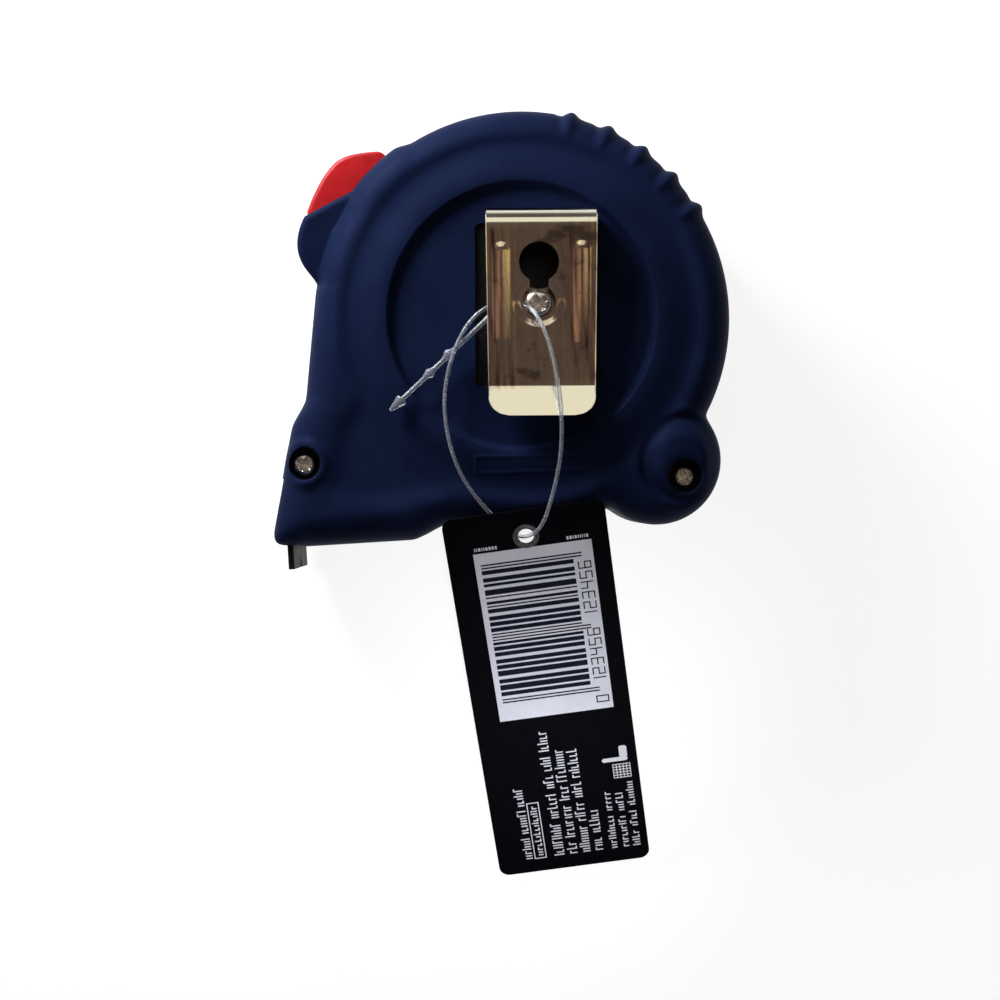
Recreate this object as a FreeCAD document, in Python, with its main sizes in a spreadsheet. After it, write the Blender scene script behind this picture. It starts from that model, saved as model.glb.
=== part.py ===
"""Pocket tape measure with a belt clip, lying on its front cover with the clip side up.

Frame: millimetres, +Z up, the front cover rests on z = 0.  The origin is the centre of the
round of the case on that plane.  The foot with the blade's mouth points towards -X, and the
base that stands on a bench faces -Y.
"""
import FreeCAD, Part
import math
import os

V = FreeCAD.Vector
UP = V(0, 0, 1)

# ---------------------------------------------------------------------------------------
# driving dimensions, all in millimetres or degrees
# ---------------------------------------------------------------------------------------
SIZES = {
    # outline of the case
    "case_radius": 42.7, "case_height": 38.5, "split_height": 19.25,
    "flank_x": -41.9, "flank_y": 8.6, "nose_root_x": -45.4, "nose_root_y": -14.3,
    "nose_tip_x": -48.5, "nose_tip_y": -19.0, "toe_x": -54.6,
    "base_y": -44.0, "toe_round": 3.0, "base_end_x": -24.5,
    "arch_x": -18.5, "arch_y": -41.2, "arch_end": 258.0,
    "boss_x": 25.8, "boss_y": -30.6, "boss_radius": 13.35,
    # walls and levels
    "cover_wall": 1.6, "shell_wall": 2.0, "edge_round": 6.5,
    "shell_low": 2.5, "shell_high": 36.0, "face_wall": 1.8, "face_level": 0.0,
    "badge_low": 0.6, "badge_gap": 0.7,
    "shoulder_low": 1.1, "shoulder_high": 37.4, "disc_radius": 26.2, "disc_low": 1.7, "disc_high": 36.8,
    "ring_inner": 27.3, "ring_outer": 34.6,
    "rib_height": 0.9, "rib_width": 2.6, "rib_first": 28.6, "rib_step": 11.0, "rib_count": 5,
    # guard wings beside the thumb lock
    "wing_thick": 5.0, "wing_front_x": -42.9, "wing_front_y": 23.4, "wing_belly_x": -45.2,
    "wing_belly_y": 17.2, "wing_low_x": -42.6, "wing_low_y": 11.4,
    # screws
    "foot_screw_x": -46.1, "foot_screw_y": -27.1, "boss_screw_x": 31.1, "boss_screw_y": -34.4,
    "column_radius": 4.6, "bore_radius": 1.5, "head_radius": 2.45, "sink_radius": 3.2,
    "sink_floor": 33.0, "screw_radius": 1.4, "screw_tip": 9.0, "head_height": 1.9,
    # spool
    "spool_x": 3.5, "spool_y": 2.4, "post_radius": 4.0, "post_slot": 1.0, "hub_gap": 0.05,
    "drum_inner": 17.0, "drum_outer": 19.0, "flange_radius": 29.5, "flange_thick": 1.1,
    "reel_low": 5.3, "reel_high": 33.2, "washer_radius": 7.0, "washer_thick": 0.7,
    "spring_outer": 14.5, "spring_strip": 0.9, "spring_turns": 7, "spring_low": 7.0, "spring_high": 31.5,
    # blade
    "blade_width": 25.0, "blade_centre": 19.25, "blade_length": 8000.0, "blade_pitch": 0.15,
    "blade_thick": 0.2, "blade_crown": 2.4, "blade_edge_y": -33.6, "tongue_tip_x": -48.6,
    "tongue_end_x": 4.0, "rivet_radius": 1.2, "rivet_head": 2.1, "rivet_spread": 3.2, "rivet_x": -42.5,
    # hook
    "hook_thick": 1.2, "hook_face_x": -50.9, "hook_drop": -48.5, "hook_half_width": 13.0,
    "hook_plate_end": -38.6, "hook_plate_half": 6.2, "hook_travel": 1.0, "hook_notch": 3.0,
    # mouth
    "mouth_face_x": -48.1, "mouth_wall": 2.0, "mouth_low": 5.0, "mouth_high": 33.5, "mouth_roof": -29.8,
    "slot_low": 5.9, "slot_high": 32.6, "slot_roof": -31.6, "slot_floor": -37.8,
    "guide_thick": 0.8, "guide_length": 16.0, "bumper_thick": 1.2, "bumper_low": 9.5, "bumper_high": 29.0,
    # thumb lock, which turns about the centre of the case
    "lock_low": 9.25, "lock_high": 29.25, "lock_inner": 43.2, "lock_outer": 50.2, "lock_start": 126.0,
    "lock_end": 150.5, "lock_travel": 9.0, "stem_start": 137.0, "stem_end": 142.0,
    "arm_inner": 35.6, "arm_outer": 37.4, "arm_end": 200.0, "arm_low": 13.25, "arm_high": 25.25,
    "stem_gap": 1.2, "stem_play": 0.35,
    "pad_x": -35.8, "pad_y": -27.85, "pad_length": 5.0, "pad_thick": 2.0, "foot_thick": 1.2,
    "detent_inner": 35.8, "detent_outer": 36.4, "detent_start": 165.0, "detent_end": 185.0,
    # belt clip
    "clip_turn": -3.2, "clip_x": 3.9, "clip_y": 0.2, "clip_width": 22.4, "clip_end_width": 21.4,
    "clip_top": 21.2, "clip_tail": -20.9, "clip_crease": -14.8, "clip_thick": 0.9, "clip_leaf_high": 44.1,
    "clip_crease_high": 41.2, "clip_lip_high": 43.4, "clip_base_end": -12.0,
    "clip_corner": 4.0, "window_side": 1.6, "window_end": 1.5, "window_top": 1.2,
    "key_x": -0.52, "key_large_y": 9.9, "key_small_y": 2.18, "key_large": 4.0, "key_small": 3.3,
    "key_neck": 1.9, "clip_screw_radius": 2.75, "clip_screw_tip": 25.0, "clip_screw_head": 1.8,
    # swing tag, in its own plane: length runs down from the eyelet
    "tag_width": 33.4, "tag_length": 88.0, "tag_thick": 0.5, "tag_above_hole": 6.0, "tag_round": 2.2,
    "tag_slope": 24.5, "tag_lean": 4.8, "tag_x": -1.9, "tag_y": -44.4, "tag_z": 35.1,
    "eyelet_outer": 2.8, "eyelet_inner": 1.6,
    # nylon loop of the tag
    "loop_diameter": 0.8, "tail_diameter": 1.1, "bead_large": 1.25, "bead_small": 1.05,
    "socket_length": 4.6, "socket_width": 3.4, "socket_height": 2.6,
    "socket_x": -3.9, "socket_y": 2.4, "socket_z": 39.9, "socket_turn": 40.0,
    "tail_length": 27.0, "bead_large_at": 12.4, "bead_small_at": 17.8,
    "arrow_at": 25.4, "arrow_wide": 1.25, "arrow_tip": 0.3, "arrow_length": 3.4,
}

doc = FreeCAD.newDocument("tape_measure")
sheet = doc.addObject("Spreadsheet::Sheet", "sizes")
for row, (alias, number) in enumerate(SIZES.items(), start=1):
    sheet.set(f"A{row}", alias)
    sheet.set(f"B{row}", str(number))
    sheet.setAlias(f"B{row}", alias)
doc.recompute()

nodes = []


def size(alias):
    """The number that the sheet holds under an alias."""
    return float(sheet.get(alias))


def bind(thing, **formulas):
    """Binds properties to formulas in the sheet's aliases; x, y and z are the placement."""
    for name, formula in formulas.items():
        path = f"Placement.Base.{name}" if name in ("x", "y", "z") else name
        thing.setExpression(path, as_formula(formula))
    return thing


def as_formula(text):
    """Puts the sheet's name before each alias, so that formulas stay short to read."""
    words = []
    for word in str(text).replace("(", " ( ").replace(")", " ) ").split():
        words.append(f"sizes.{word}" if word in SIZES else word)
    return " ".join(words)


def add(kind, name, **links):
    thing = doc.addObject(kind, name)
    for key, link in links.items():
        setattr(thing, key, link)
    return thing


def node(thing, name):
    """Marks a finished sub-part: its label is the name of its file."""
    thing.Label = name
    nodes.append(thing)
    return thing


def cylinder(name, radius, bottom, top, x=0, y=0):
    thing = add("Part::Cylinder", name)
    return bind(thing, Radius=radius, Height=f"{top} - ( {bottom} )", x=x, y=y, z=bottom)


def box(name, x, y, z):
    """A box between formulas: each of x, y and z is a pair (low, high)."""
    thing = add("Part::Box", name)
    bind(thing, Length=f"{x[1]} - ( {x[0]} )", Width=f"{y[1]} - ( {y[0]} )", Height=f"{z[1]} - ( {z[0]} )")
    return bind(thing, x=x[0], y=y[0], z=z[0])


def turned(block, turn, centre, corner):
    """Turns a box about the vertical and puts its corner where the turned frame has it."""
    for axis in "xyz":
        block.setExpression(f"Placement.Base.{axis}", None)
    rotation = FreeCAD.Rotation(UP, turn)
    block.Placement = FreeCAD.Placement(centre + rotation.multVec(corner), rotation)
    return block


def fuse(name, *shapes):
    return add("Part::MultiFuse", name, Shapes=list(shapes))


def cut(name, base, *tools):
    """Takes the tools away one after another; the last cut bears the name."""
    for step, tool in enumerate(tools, start=1):
        base = add("Part::Cut", name if step == len(tools) else f"{name}_cut{step}", Base=base, Tool=tool)
    return base


def line(start, end):
    return Part.LineSegment(V(*start, 0), V(*end, 0))


def arc(start, middle, end):
    return Part.Arc(V(*start, 0), V(*middle, 0), V(*end, 0))


def polar(radius, angle, centre=(0.0, 0.0)):
    turn = math.radians(angle)
    return centre[0] + radius * math.cos(turn), centre[1] + radius * math.sin(turn)


def round_arc(centre, radius, start, end):
    """An arc by its centre, from one angle to another in degrees, the way they grow."""
    points = [polar(radius, angle, centre) for angle in (start, (start + end) / 2, end)]
    return arc(*points)


def ring_sector(inner, outer, start, end, centre=(0.0, 0.0)):
    """The outline of a piece of a ring."""
    return [
        round_arc(centre, outer, start, end), line(polar(outer, end, centre), polar(inner, end, centre)),
        round_arc(centre, inner, start, end), line(polar(inner, start, centre), polar(outer, start, centre)),
    ]


def polygon(points):
    return [line(start, end) for start, end in zip(points, points[1:] + points[:1])]


def sketch(name, geometry, z=0):
    thing = add("Sketcher::SketchObject", name)
    for edge in geometry:
        thing.addGeometry(edge, False)
    return bind(thing, z=z)


def extrude(name, profile, bottom, top):
    thing = add("Part::Extrusion", name, Base=profile, Dir=UP, DirMode="Custom", Solid=True)
    bind(profile, z=bottom)
    return bind(thing, LengthFwd=f"{top} - ( {bottom} )")


def new_body(name):
    body = doc.addObject("PartDesign::Body", name)
    return node(body, name)


def body_sketch(body, role, geometry, level=None):
    """A sketch on one of the body's own planes, lifted off it by a formula."""
    plane = next(item for item in body.Origin.OriginFeatures if item.Role == role)
    thing = body.newObject("Sketcher::SketchObject", f"{body.Name}_sketch")
    thing.AttachmentSupport = [(plane, "")]
    thing.MapMode = "FlatFace"
    for edge in geometry:
        thing.addGeometry(edge, False)
    if level is not None:
        thing.setExpression("AttachmentOffset.Base.z", as_formula(level))
    return thing


def pad(body, profile, length):
    thing = body.newObject("PartDesign::Pad", f"{body.Name}_pad")
    thing.Profile = profile
    return bind(thing, Length=length)


def pocket(body, profile, length):
    thing = body.newObject("PartDesign::Pocket", f"{body.Name}_pocket")
    thing.Profile = profile
    return bind(thing, Length=length)


def revolve(body, profile):
    """Turns a profile drawn on the XZ plane about the body's own Z axis."""
    thing = body.newObject("PartDesign::Revolution", f"{body.Name}_turn")
    thing.Profile = profile
    thing.ReferenceAxis = (next(i for i in body.Origin.OriginFeatures if i.Role == "Z_Axis"), [""])
    thing.Angle = 360
    return thing


def circle(radius, x=0.0, y=0.0):
    return Part.Circle(V(x, y, 0), UP, radius)


# ---------------------------------------------------------------------------------------
# outline of the case
# ---------------------------------------------------------------------------------------
def crossing(centre_a, radius_a, centre_b, radius_b, side):
    """One of the two points where two circles cross; side is +1 or -1."""
    run = V(*centre_b, 0) - V(*centre_a, 0)
    along = (run.Length**2 + radius_a**2 - radius_b**2) / (2 * run.Length)
    away = side * math.sqrt(radius_a**2 - along**2)
    across = V(-run.y, run.x, 0).normalize()
    point = V(*centre_a, 0) + run.normalize() * along + across * away
    return point.x, point.y


def angle_of(point, centre=(0.0, 0.0)):
    return math.degrees(math.atan2(point[1] - centre[1], point[0] - centre[0])) % 360


def inset_corner(before, corner, after, inset):
    """A corner of a loop that grows anticlockwise, moved inwards together with both its sides."""
    first = (V(*corner, 0) - V(*before, 0)).normalize()
    second = (V(*after, 0) - V(*corner, 0)).normalize()
    inward, next_inward = V(-first.y, first.x, 0), V(-second.y, second.x, 0)
    moved = V(*corner, 0) + (inward + next_inward) * (inset / (1 + inward * next_inward))
    return moved.x, moved.y


def between(start, end, share):
    return tuple(a + (b - a) * share for a, b in zip(start, end))


def case_outline(inset=0.0):
    """Round body, flank, nose, flat base and the round boss at the heel, in one closed loop."""
    radius, centre = size("case_radius") - inset, (0.0, 0.0)
    boss, boss_radius = (size("boss_x"), size("boss_y")), size("boss_radius") - inset
    valley = crossing(centre, radius, boss, boss_radius, +1)
    heel = crossing(centre, radius, boss, boss_radius, -1)
    flank_angle = angle_of((size("flank_x"), size("flank_y")))
    arch_end = polar(size("case_radius"), size("arch_end"))
    corners = [
        (size("flank_x"), size("flank_y")), (size("nose_root_x"), size("nose_root_y")),
        (size("nose_tip_x"), size("nose_tip_y")), (size("toe_x"), size("base_y")),
        (size("base_end_x"), size("base_y")), (size("arch_x"), size("arch_y")), arch_end,
    ]
    root, tip, toe, base_end, arch = [
        inset_corner(*three, inset) for three in zip(corners, corners[1:], corners[2:])]
    flank, arch_end = polar(radius, flank_angle), polar(radius, size("arch_end"))
    toe_front = between(toe, tip, size("toe_round") / math.dist(toe, tip))
    toe_base = between(toe, base_end, size("toe_round") / math.dist(toe, base_end))
    toe_middle = between(toe, between(toe_front, toe_base, 0.5), 0.59)
    return [
        round_arc(centre, radius, angle_of(valley) - 360, flank_angle),
        line(flank, root), line(root, tip), line(tip, toe_front), arc(toe_front, toe_middle, toe_base),
        line(toe_base, base_end), line(base_end, arch), line(arch, arch_end),
        round_arc(centre, radius, size("arch_end"), angle_of(heel)),
        round_arc(boss, boss_radius, angle_of(heel, boss), angle_of(valley, boss) + 360),
    ]


def ribs():
    """The grip ribs, small half rounds on the edge of the case."""
    ribs_made = []
    for number in range(int(size("rib_count"))):
        place = polar(size("case_radius") - size("rib_width") / 2 + size("rib_height"),
                      size("rib_first") + number * size("rib_step"))
        ribs_made.append(circle(size("rib_width") / 2, *place))
    return ribs_made


def wing_outline():
    """A guard wing: it leaves the round beside the button and comes back above the flank."""
    front = size("wing_front_x"), size("wing_front_y")
    belly = size("wing_belly_x"), size("wing_belly_y")
    low = size("wing_low_x"), size("wing_low_y")
    inside_case = [(-38.0, 9.0), (-32.5, 26.0)]
    return [arc(front, belly, low)] + polygon([low, *inside_case, front])[:-1]


def tools_for_case():
    """The shapes that are taken out of the covers and of the shells alike."""
    room = "mouth_low", "mouth_high"
    hook_room = box("hook_room", ("toe_x - 3", "mouth_face_x"), ("base_y - 3", "mouth_roof"), room)
    slot = box("mouth_slot", ("mouth_face_x - 1", "mouth_face_x + mouth_wall + 0.5"),
               ("slot_floor", "slot_roof"), ("slot_low", "slot_high"))
    stem_room = ring_sector(size("arm_outer"), size("lock_inner") + 2, size("stem_start") - size("stem_gap"),
                            size("stem_end") + size("lock_travel") + size("stem_gap"))
    lock_slot = extrude("lock_slot", sketch("lock_slot_profile", stem_room), "arm_low + stem_play",
                        "arm_high - stem_play")
    return [hook_room, slot, lock_slot]


# ---------------------------------------------------------------------------------------
# case: two rubber covers over two hard shells
# ---------------------------------------------------------------------------------------
outline = sketch("case_profile", case_outline())
wing = sketch("wing_profile", wing_outline())
shell_profile = sketch("shell_profile", case_outline(size("cover_wall")))
cavity_profile = sketch("cavity_profile", case_outline(size("cover_wall") + size("shell_wall")))
doc.recompute()
shared_tools = tools_for_case()

SCREWS = [("foot_screw_x", "foot_screw_y"), ("boss_screw_x", "boss_screw_y")]


def rounded(name, block, level, radius):
    """The block with its edges at one level rounded."""
    doc.recompute()
    picked = [
        number for number, edge in enumerate(block.Shape.Edges, start=1)
        if abs(edge.BoundBox.ZMin - level) < 0.01 and edge.BoundBox.ZLength < 0.01
    ]
    thing = add("Part::Fillet", name, Base=block)
    thing.Edges = [(number, radius, radius) for number in picked]
    return thing


def prism(name, profile, bottom, top):
    """An extrusion that leaves its profile where it is, so that several can share it."""
    thing = add("Part::Extrusion", name, Base=profile, Dir=UP, DirMode="Custom", Solid=True)
    return bind(thing, LengthFwd=f"{top} - ( {bottom} )", z=bottom)


def cover(name, low, high, shoulder, ring_top, disc, wing_span, front):
    """A rubber cover: rounded edge, raised ring, recessed disc, grip ribs and a guard wing."""
    base = prism(f"{name}_block", outline, low, high)
    soft = rounded(f"{name}_soft", base, size(shoulder), size("edge_round"))
    ring_low, ring_high = sorted((shoulder, ring_top), key=size)
    ring = cut(f"{name}_ring", cylinder(f"{name}_ring_out", "ring_outer", ring_low, ring_high),
               cylinder(f"{name}_ring_in", "ring_inner", f"{ring_low} - 1", f"{ring_high} + 1"))
    grip_low, grip_high = ("split_height", "shoulder_high - edge_round")
    if front:
        grip_low, grip_high = ("shoulder_low + edge_round", "split_height")
    grips = [prism(f"{name}_rib{i}", sketch(f"{name}_rib_profile{i}", [edge]), grip_low, grip_high)
             for i, edge in enumerate(ribs())]
    guard = prism(f"{name}_wing", wing, *wing_span)
    whole = fuse(f"{name}_whole", soft, ring, guard, *grips)
    inside = shell_block(f"{name}_inside", low, high, front)
    if front:
        recess = cylinder(f"{name}_recess", "disc_radius", "0 - 1", disc)
    else:
        recess = cylinder(f"{name}_recess", "disc_radius", disc, "case_height + 1")
    tools = [*shared_tools, recess]
    if not front:
        tools += [sink_tool(f"{name}_sink{i}", *place) for i, place in enumerate(SCREWS)]
        tools.append(clip_window())
    tools.append(inside)
    return node(cut(name, whole, *tools), name)


def shell_block(name, low, high, front):
    """The solid form of a hard half shell, with its outer edge rounded under the cover's."""
    low, high = ("shell_low", high) if front else (low, "shell_high")
    return rounded(name, prism(f"{name}_form", shell_profile, low, high),
                   size("shell_low" if front else "shell_high"), size("edge_round") - size("cover_wall"))


def sink_tool(name, x, y):
    return cylinder(name, "sink_radius", "sink_floor", "case_height + 1", x, y)


def clip_window():
    """The window in the rubber where the clip's base plate lies on the hard shell."""
    window = box("clip_window", ("0", "clip_width + 2 * window_side"),
                 ("0", "clip_top - clip_base_end + window_top + window_end"),
                 ("shell_high", "case_height + 1"))
    centre = V(size("clip_x"), size("clip_y"), size("shell_high"))
    corner = V(-size("clip_width") / 2 - size("window_side"), size("clip_base_end") - size("window_end"), 0)
    return turned(window, size("clip_turn"), centre, corner)


def shell(name, low, high, floor, ceiling, front):
    """A hard half shell with its mouth wall and screw columns."""
    hollow = prism(f"{name}_hollow", cavity_profile, floor, ceiling)
    mouth = box(f"{name}_mouth_box", ("toe_x - 1", "mouth_face_x + mouth_wall"),
                ("base_y - 1", "mouth_roof + mouth_wall"), ("0", "case_height"))
    columns = [cylinder(f"{name}_column{i}", "column_radius", "0", "case_height", *place)
               for i, place in enumerate(SCREWS)]
    hollow = cut(f"{name}_hollow_left", hollow, mouth, *columns)
    whole = shell_block(f"{name}_block", low, high, front)
    bores = [cylinder(f"{name}_bore{i}", "bore_radius", "screw_tip - 1", "case_height", *place)
             for i, place in enumerate(SCREWS)]
    tools = [*shared_tools, *bores]
    if not front:
        tools += [sink_tool(f"{name}_sink{i}", *place) for i, place in enumerate(SCREWS)]
        tools.append(cylinder(f"{name}_clip_bore", "bore_radius", "split_height", "case_height",
                              "spool_x", "spool_y"))
    return node(cut(name, whole, *tools, hollow), name)


cover("rear_cover", "split_height", "shoulder_high", "shoulder_high", "case_height", "disc_high",
      ("mouth_high - wing_thick + 1.5", "mouth_high + 1.5"), front=False)
cover("front_cover", "shoulder_low", "split_height", "shoulder_low", "face_level", "disc_low",
      ("mouth_low - 1.5", "mouth_low + wing_thick - 1.5"), front=True)
shell("rear_shell", "split_height", "shell_high", "split_height - 1", "shell_high - face_wall", front=False)
shell("front_shell", "shell_low", "split_height", "shell_low + face_wall", "split_height + 1", front=True)

badge = new_body("front_badge")
pad(badge, body_sketch(badge, "XY_Plane", [circle(size("disc_radius") - size("badge_gap"))], "badge_low"),
    "disc_low - badge_low")

case_screws = [
    fuse(f"case_screw{i}",
         cylinder(f"screw_head{i}", "head_radius", "sink_floor", "sink_floor + head_height", *at),
         cylinder(f"screw_shank{i}", "screw_radius", "screw_tip", "sink_floor", *at))
    for i, at in enumerate(SCREWS)
]
node(add("Part::Compound", "case_screws", Links=case_screws), "case_screws")

# ---------------------------------------------------------------------------------------
# mouth: wear plate and bumper
# ---------------------------------------------------------------------------------------
guide_floor = "base_y + cover_wall + shell_wall"
node(box("blade_guide", ("mouth_face_x + mouth_wall", "mouth_face_x + mouth_wall + guide_length"),
         (guide_floor, f"{guide_floor} + guide_thick"), ("slot_low", "slot_high")), "blade_guide")
node(box("hook_bumper", ("mouth_face_x - bumper_thick", "mouth_face_x"), ("base_y + 0.6", "slot_floor - 0.4"),
         ("bumper_low", "bumper_high")), "hook_bumper")

# ---------------------------------------------------------------------------------------
# spool: post, washers, reel, power spring and the wound blade
# ---------------------------------------------------------------------------------------
SPOOL = {"x": "spool_x", "y": "spool_y"}

post = new_body("centre_post")
pad(post, body_sketch(post, "XY_Plane", [circle(size("post_radius"))], "shell_low + face_wall"),
    "shell_high - shell_low - 2 * face_wall")
slot_half = size("post_slot") / 2
post_slot = [(-slot_half, 0.0), (slot_half, 0.0), (slot_half, -6.0), (-slot_half, -6.0)]
pocket(post, body_sketch(post, "XY_Plane", polygon(post_slot), "spring_high"), "spring_high - spring_low")
pocket(post, body_sketch(post, "XY_Plane", [circle(size("bore_radius"))], "shell_high - face_wall"),
       "shell_high - face_wall - clip_screw_tip + 1")
bind(post, **SPOOL)

washer_levels = ("shell_low + face_wall", "shell_high - face_wall - washer_thick")
washers = [
    cut(f"washer{i}", cylinder(f"washer_out{i}", "washer_radius", level, f"{level} + washer_thick", **SPOOL),
        cylinder(f"washer_in{i}", "post_radius", f"{level} - 1", f"{level} + washer_thick + 1", **SPOOL))
    for i, level in enumerate(washer_levels)
]
node(add("Part::Compound", "thrust_washers", Links=washers), "thrust_washers")


def reel_profile():
    """Half section of the drum with its front flange, for a turn about the spool's axis."""
    hub, inner, outer = size("post_radius") + size("hub_gap"), size("drum_inner"), size("drum_outer")
    low, top = size("reel_low"), size("reel_high") - size("flange_thick")
    web = low + size("flange_thick")
    return polygon([(hub, low), (size("flange_radius"), low), (size("flange_radius"), web), (outer, web),
                    (outer, top), (inner, top), (inner, web), (hub, web)])


def flange_profile():
    hub = size("post_radius") + size("hub_gap")
    low, high = size("reel_high") - size("flange_thick"), size("reel_high")
    return polygon([(hub, low), (size("flange_radius"), low), (size("flange_radius"), high), (hub, high)])


reel = new_body("reel_drum")
revolve(reel, body_sketch(reel, "XZ_Plane", reel_profile()))
bind(reel, **SPOOL)
flange = new_body("reel_flange")
revolve(flange, body_sketch(flange, "XZ_Plane", flange_profile()))
bind(flange, **SPOOL)

coil_radius = math.sqrt(size("drum_outer")**2 + size("blade_length") * size("blade_pitch") / math.pi)
coil = new_body("blade_coil")
blade_low = "blade_centre - blade_width / 2"
pad(coil, body_sketch(coil, "XY_Plane", [circle(coil_radius), circle(size("drum_outer"))], blade_low),
    "blade_width")
bind(coil, **SPOOL)


def spiral_spring():
    """The power spring as a band wound in half circles, from the post outwards."""
    step = (size("spring_outer") - size("post_radius")) / size("spring_turns") / 2
    height = size("spring_high") - size("spring_low")
    band = None
    for half in range(int(size("spring_turns")) * 2):
        inner = size("post_radius") + half * step
        centre = (step, 0.0) if half % 2 else (0.0, 0.0)
        start = 180 * (half % 2)
        profile = ring_sector(inner, inner + size("spring_strip"), start, start + 180, centre)
        piece = Part.Face(Part.Wire(Part.__sortEdges__([e.toShape() for e in profile])))
        piece = piece.extrude(V(0, 0, height))
        band = piece if band is None else band.fuse(piece)
    return band.removeSplitter()


spring = add("Part::Feature", "power_spring")
spring.Shape = spiral_spring()
bind(node(spring, "power_spring"), z="spring_low", **SPOOL)

# ---------------------------------------------------------------------------------------
# blade that runs out of the mouth, with its end hook and rivets
# ---------------------------------------------------------------------------------------
RIVETS = [-1, 1]


def blade_section():
    """The curved section of the blade, drawn with Y across the page and Z up."""
    middle, half = size("blade_centre"), size("blade_width") / 2
    edge, crown, thick = size("blade_edge_y"), size("blade_crown"), size("blade_thick")
    low, high = (edge, middle - half), (edge, middle + half)
    low_out, high_out = (edge - thick, middle - half), (edge - thick, middle + half)
    return [
        arc(low, (edge - crown, middle), high), line(high, high_out),
        arc(low_out, (edge - crown - thick, middle), high_out), line(low_out, low),
    ]


def across_blade(name, radius, low, high, x, z):
    """A pin or a hole through the blade, along Y."""
    thing = add("Part::Cylinder", name)
    bind(thing, Radius=radius, Height=f"{high} - ( {low} )", x=x, y=high, z=z)
    thing.Placement.Rotation = FreeCAD.Rotation(V(1, 0, 0), 90)
    return thing


blade = add("Part::Extrusion", "blade_strip", Base=sketch("blade_profile", blade_section()))
blade.Base.Placement.Rotation = FreeCAD.Rotation(V(1, 1, 1), 120)
blade.Base.setExpression("Placement.Base.x", as_formula("tongue_tip_x"))
blade.DirMode, blade.Dir, blade.Solid = "Custom", V(1, 0, 0), True
bind(blade, LengthFwd="tongue_end_x - tongue_tip_x")
rivet_holes = [across_blade(f"rivet_hole{i}", "rivet_radius", "blade_edge_y - 5", "blade_edge_y + 2",
                            "rivet_x", f"blade_centre + {side} * rivet_spread")
               for i, side in enumerate(RIVETS)]
node(cut("blade_tongue", blade, *rivet_holes), "blade_tongue")

plate_low, plate_high = "blade_edge_y - 1.5", "blade_edge_y - 0.5"
rivets = []
for i, side in enumerate(RIVETS):
    height = f"blade_centre + {side} * rivet_spread"
    head_low = f"{plate_high} + 0.25"
    shank = across_blade(f"rivet_shank{i}", "rivet_radius", "blade_edge_y - 2.6", head_low, "rivet_x", height)
    head = across_blade(f"rivet_head{i}", "rivet_head", head_low, f"{head_low} + 0.7", "rivet_x", height)
    foot = across_blade(f"rivet_foot{i}", "rivet_head", "blade_edge_y - 3.3", "blade_edge_y - 2.6",
                        "rivet_x", height)
    rivets.append(fuse(f"rivet{i}", shank, head, foot))
node(add("Part::Compound", "hook_rivets", Links=rivets), "hook_rivets")

hook_plate = box("hook_plate", ("hook_face_x", "hook_plate_end"), (plate_low, plate_high),
                 ("blade_centre - hook_plate_half", "blade_centre + hook_plate_half"))
hook_lip = box("hook_lip", ("hook_face_x", "hook_face_x + hook_thick"), ("hook_drop", plate_high),
               ("blade_centre - hook_half_width", "blade_centre + hook_half_width"))
hook_slots = []
for i, side in enumerate(RIVETS):
    height = f"blade_centre + {side} * rivet_spread"
    ends = [across_blade(f"hook_slot{i}_{j}", "rivet_radius + 0.15", "blade_edge_y - 3", "blade_edge_y + 1",
                         x, height)
            for j, x in enumerate(("rivet_x", "rivet_x + hook_travel + 0.1"))]
    middle = box(f"hook_slot{i}_middle", ("rivet_x", "rivet_x + hook_travel + 0.1"),
                 ("blade_edge_y - 3", "blade_edge_y + 1"),
                 (f"{height} - rivet_radius - 0.15", f"{height} + rivet_radius + 0.15"))
    hook_slots += [*ends, middle]
notch = add("Part::Prism", "hook_notch", Polygon=3)
bind(notch, Circumradius="hook_notch", Height="hook_thick + 2", x="hook_face_x - 1", y="hook_drop",
     z="blade_centre")
notch.Placement.Rotation = FreeCAD.Rotation(V(1, 1, 1), 120)
node(cut("end_hook", fuse("hook_whole", hook_plate, hook_lip), notch, *hook_slots), "end_hook")

# ---------------------------------------------------------------------------------------
# thumb lock: button, arm, brake pad and detent spring
# ---------------------------------------------------------------------------------------
def button_outline():
    outer = size("lock_outer")
    heel, knee, toe = (outer - 0.3, size("lock_end")), (outer - 0.9, 135.0), (44.4, size("lock_start"))
    return [
        arc(polar(*heel), polar(outer, 143.0), polar(*knee)),
        arc(polar(*knee), polar(outer - 2.7, 129.7), polar(*toe)),
        line(polar(*toe), polar(size("lock_inner"), toe[1])),
        round_arc((0, 0), size("lock_inner"), toe[1], heel[1]),
        line(polar(size("lock_inner"), heel[1]), polar(*heel)),
    ]


button = new_body("thumb_lock")
pad(button, body_sketch(button, "XY_Plane", button_outline(), "lock_low"), "lock_high - lock_low")

arm_strip = extrude("arm_strip", sketch("arm_profile", ring_sector(
    size("arm_inner"), size("arm_outer"), size("stem_start") - 3, size("arm_end"))), "arm_low", "arm_high")
stem = extrude("arm_stem", sketch("stem_profile", ring_sector(
    size("arm_outer") - 0.5, size("lock_inner"), size("stem_start"), size("stem_end"))),
    "arm_low + 0.75", "arm_high - 0.75")
finger_points = [polar(size("arm_inner"), size("arm_end") - 1), polar(size("arm_outer"), size("arm_end") - 1),
                 (size("pad_x") - 1.2, size("pad_y") + 0.6), (size("pad_x") + 1.2, size("pad_y") + 0.6)]
finger = extrude("arm_finger", sketch("finger_profile", polygon(finger_points)), "arm_low", "arm_high")


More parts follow.
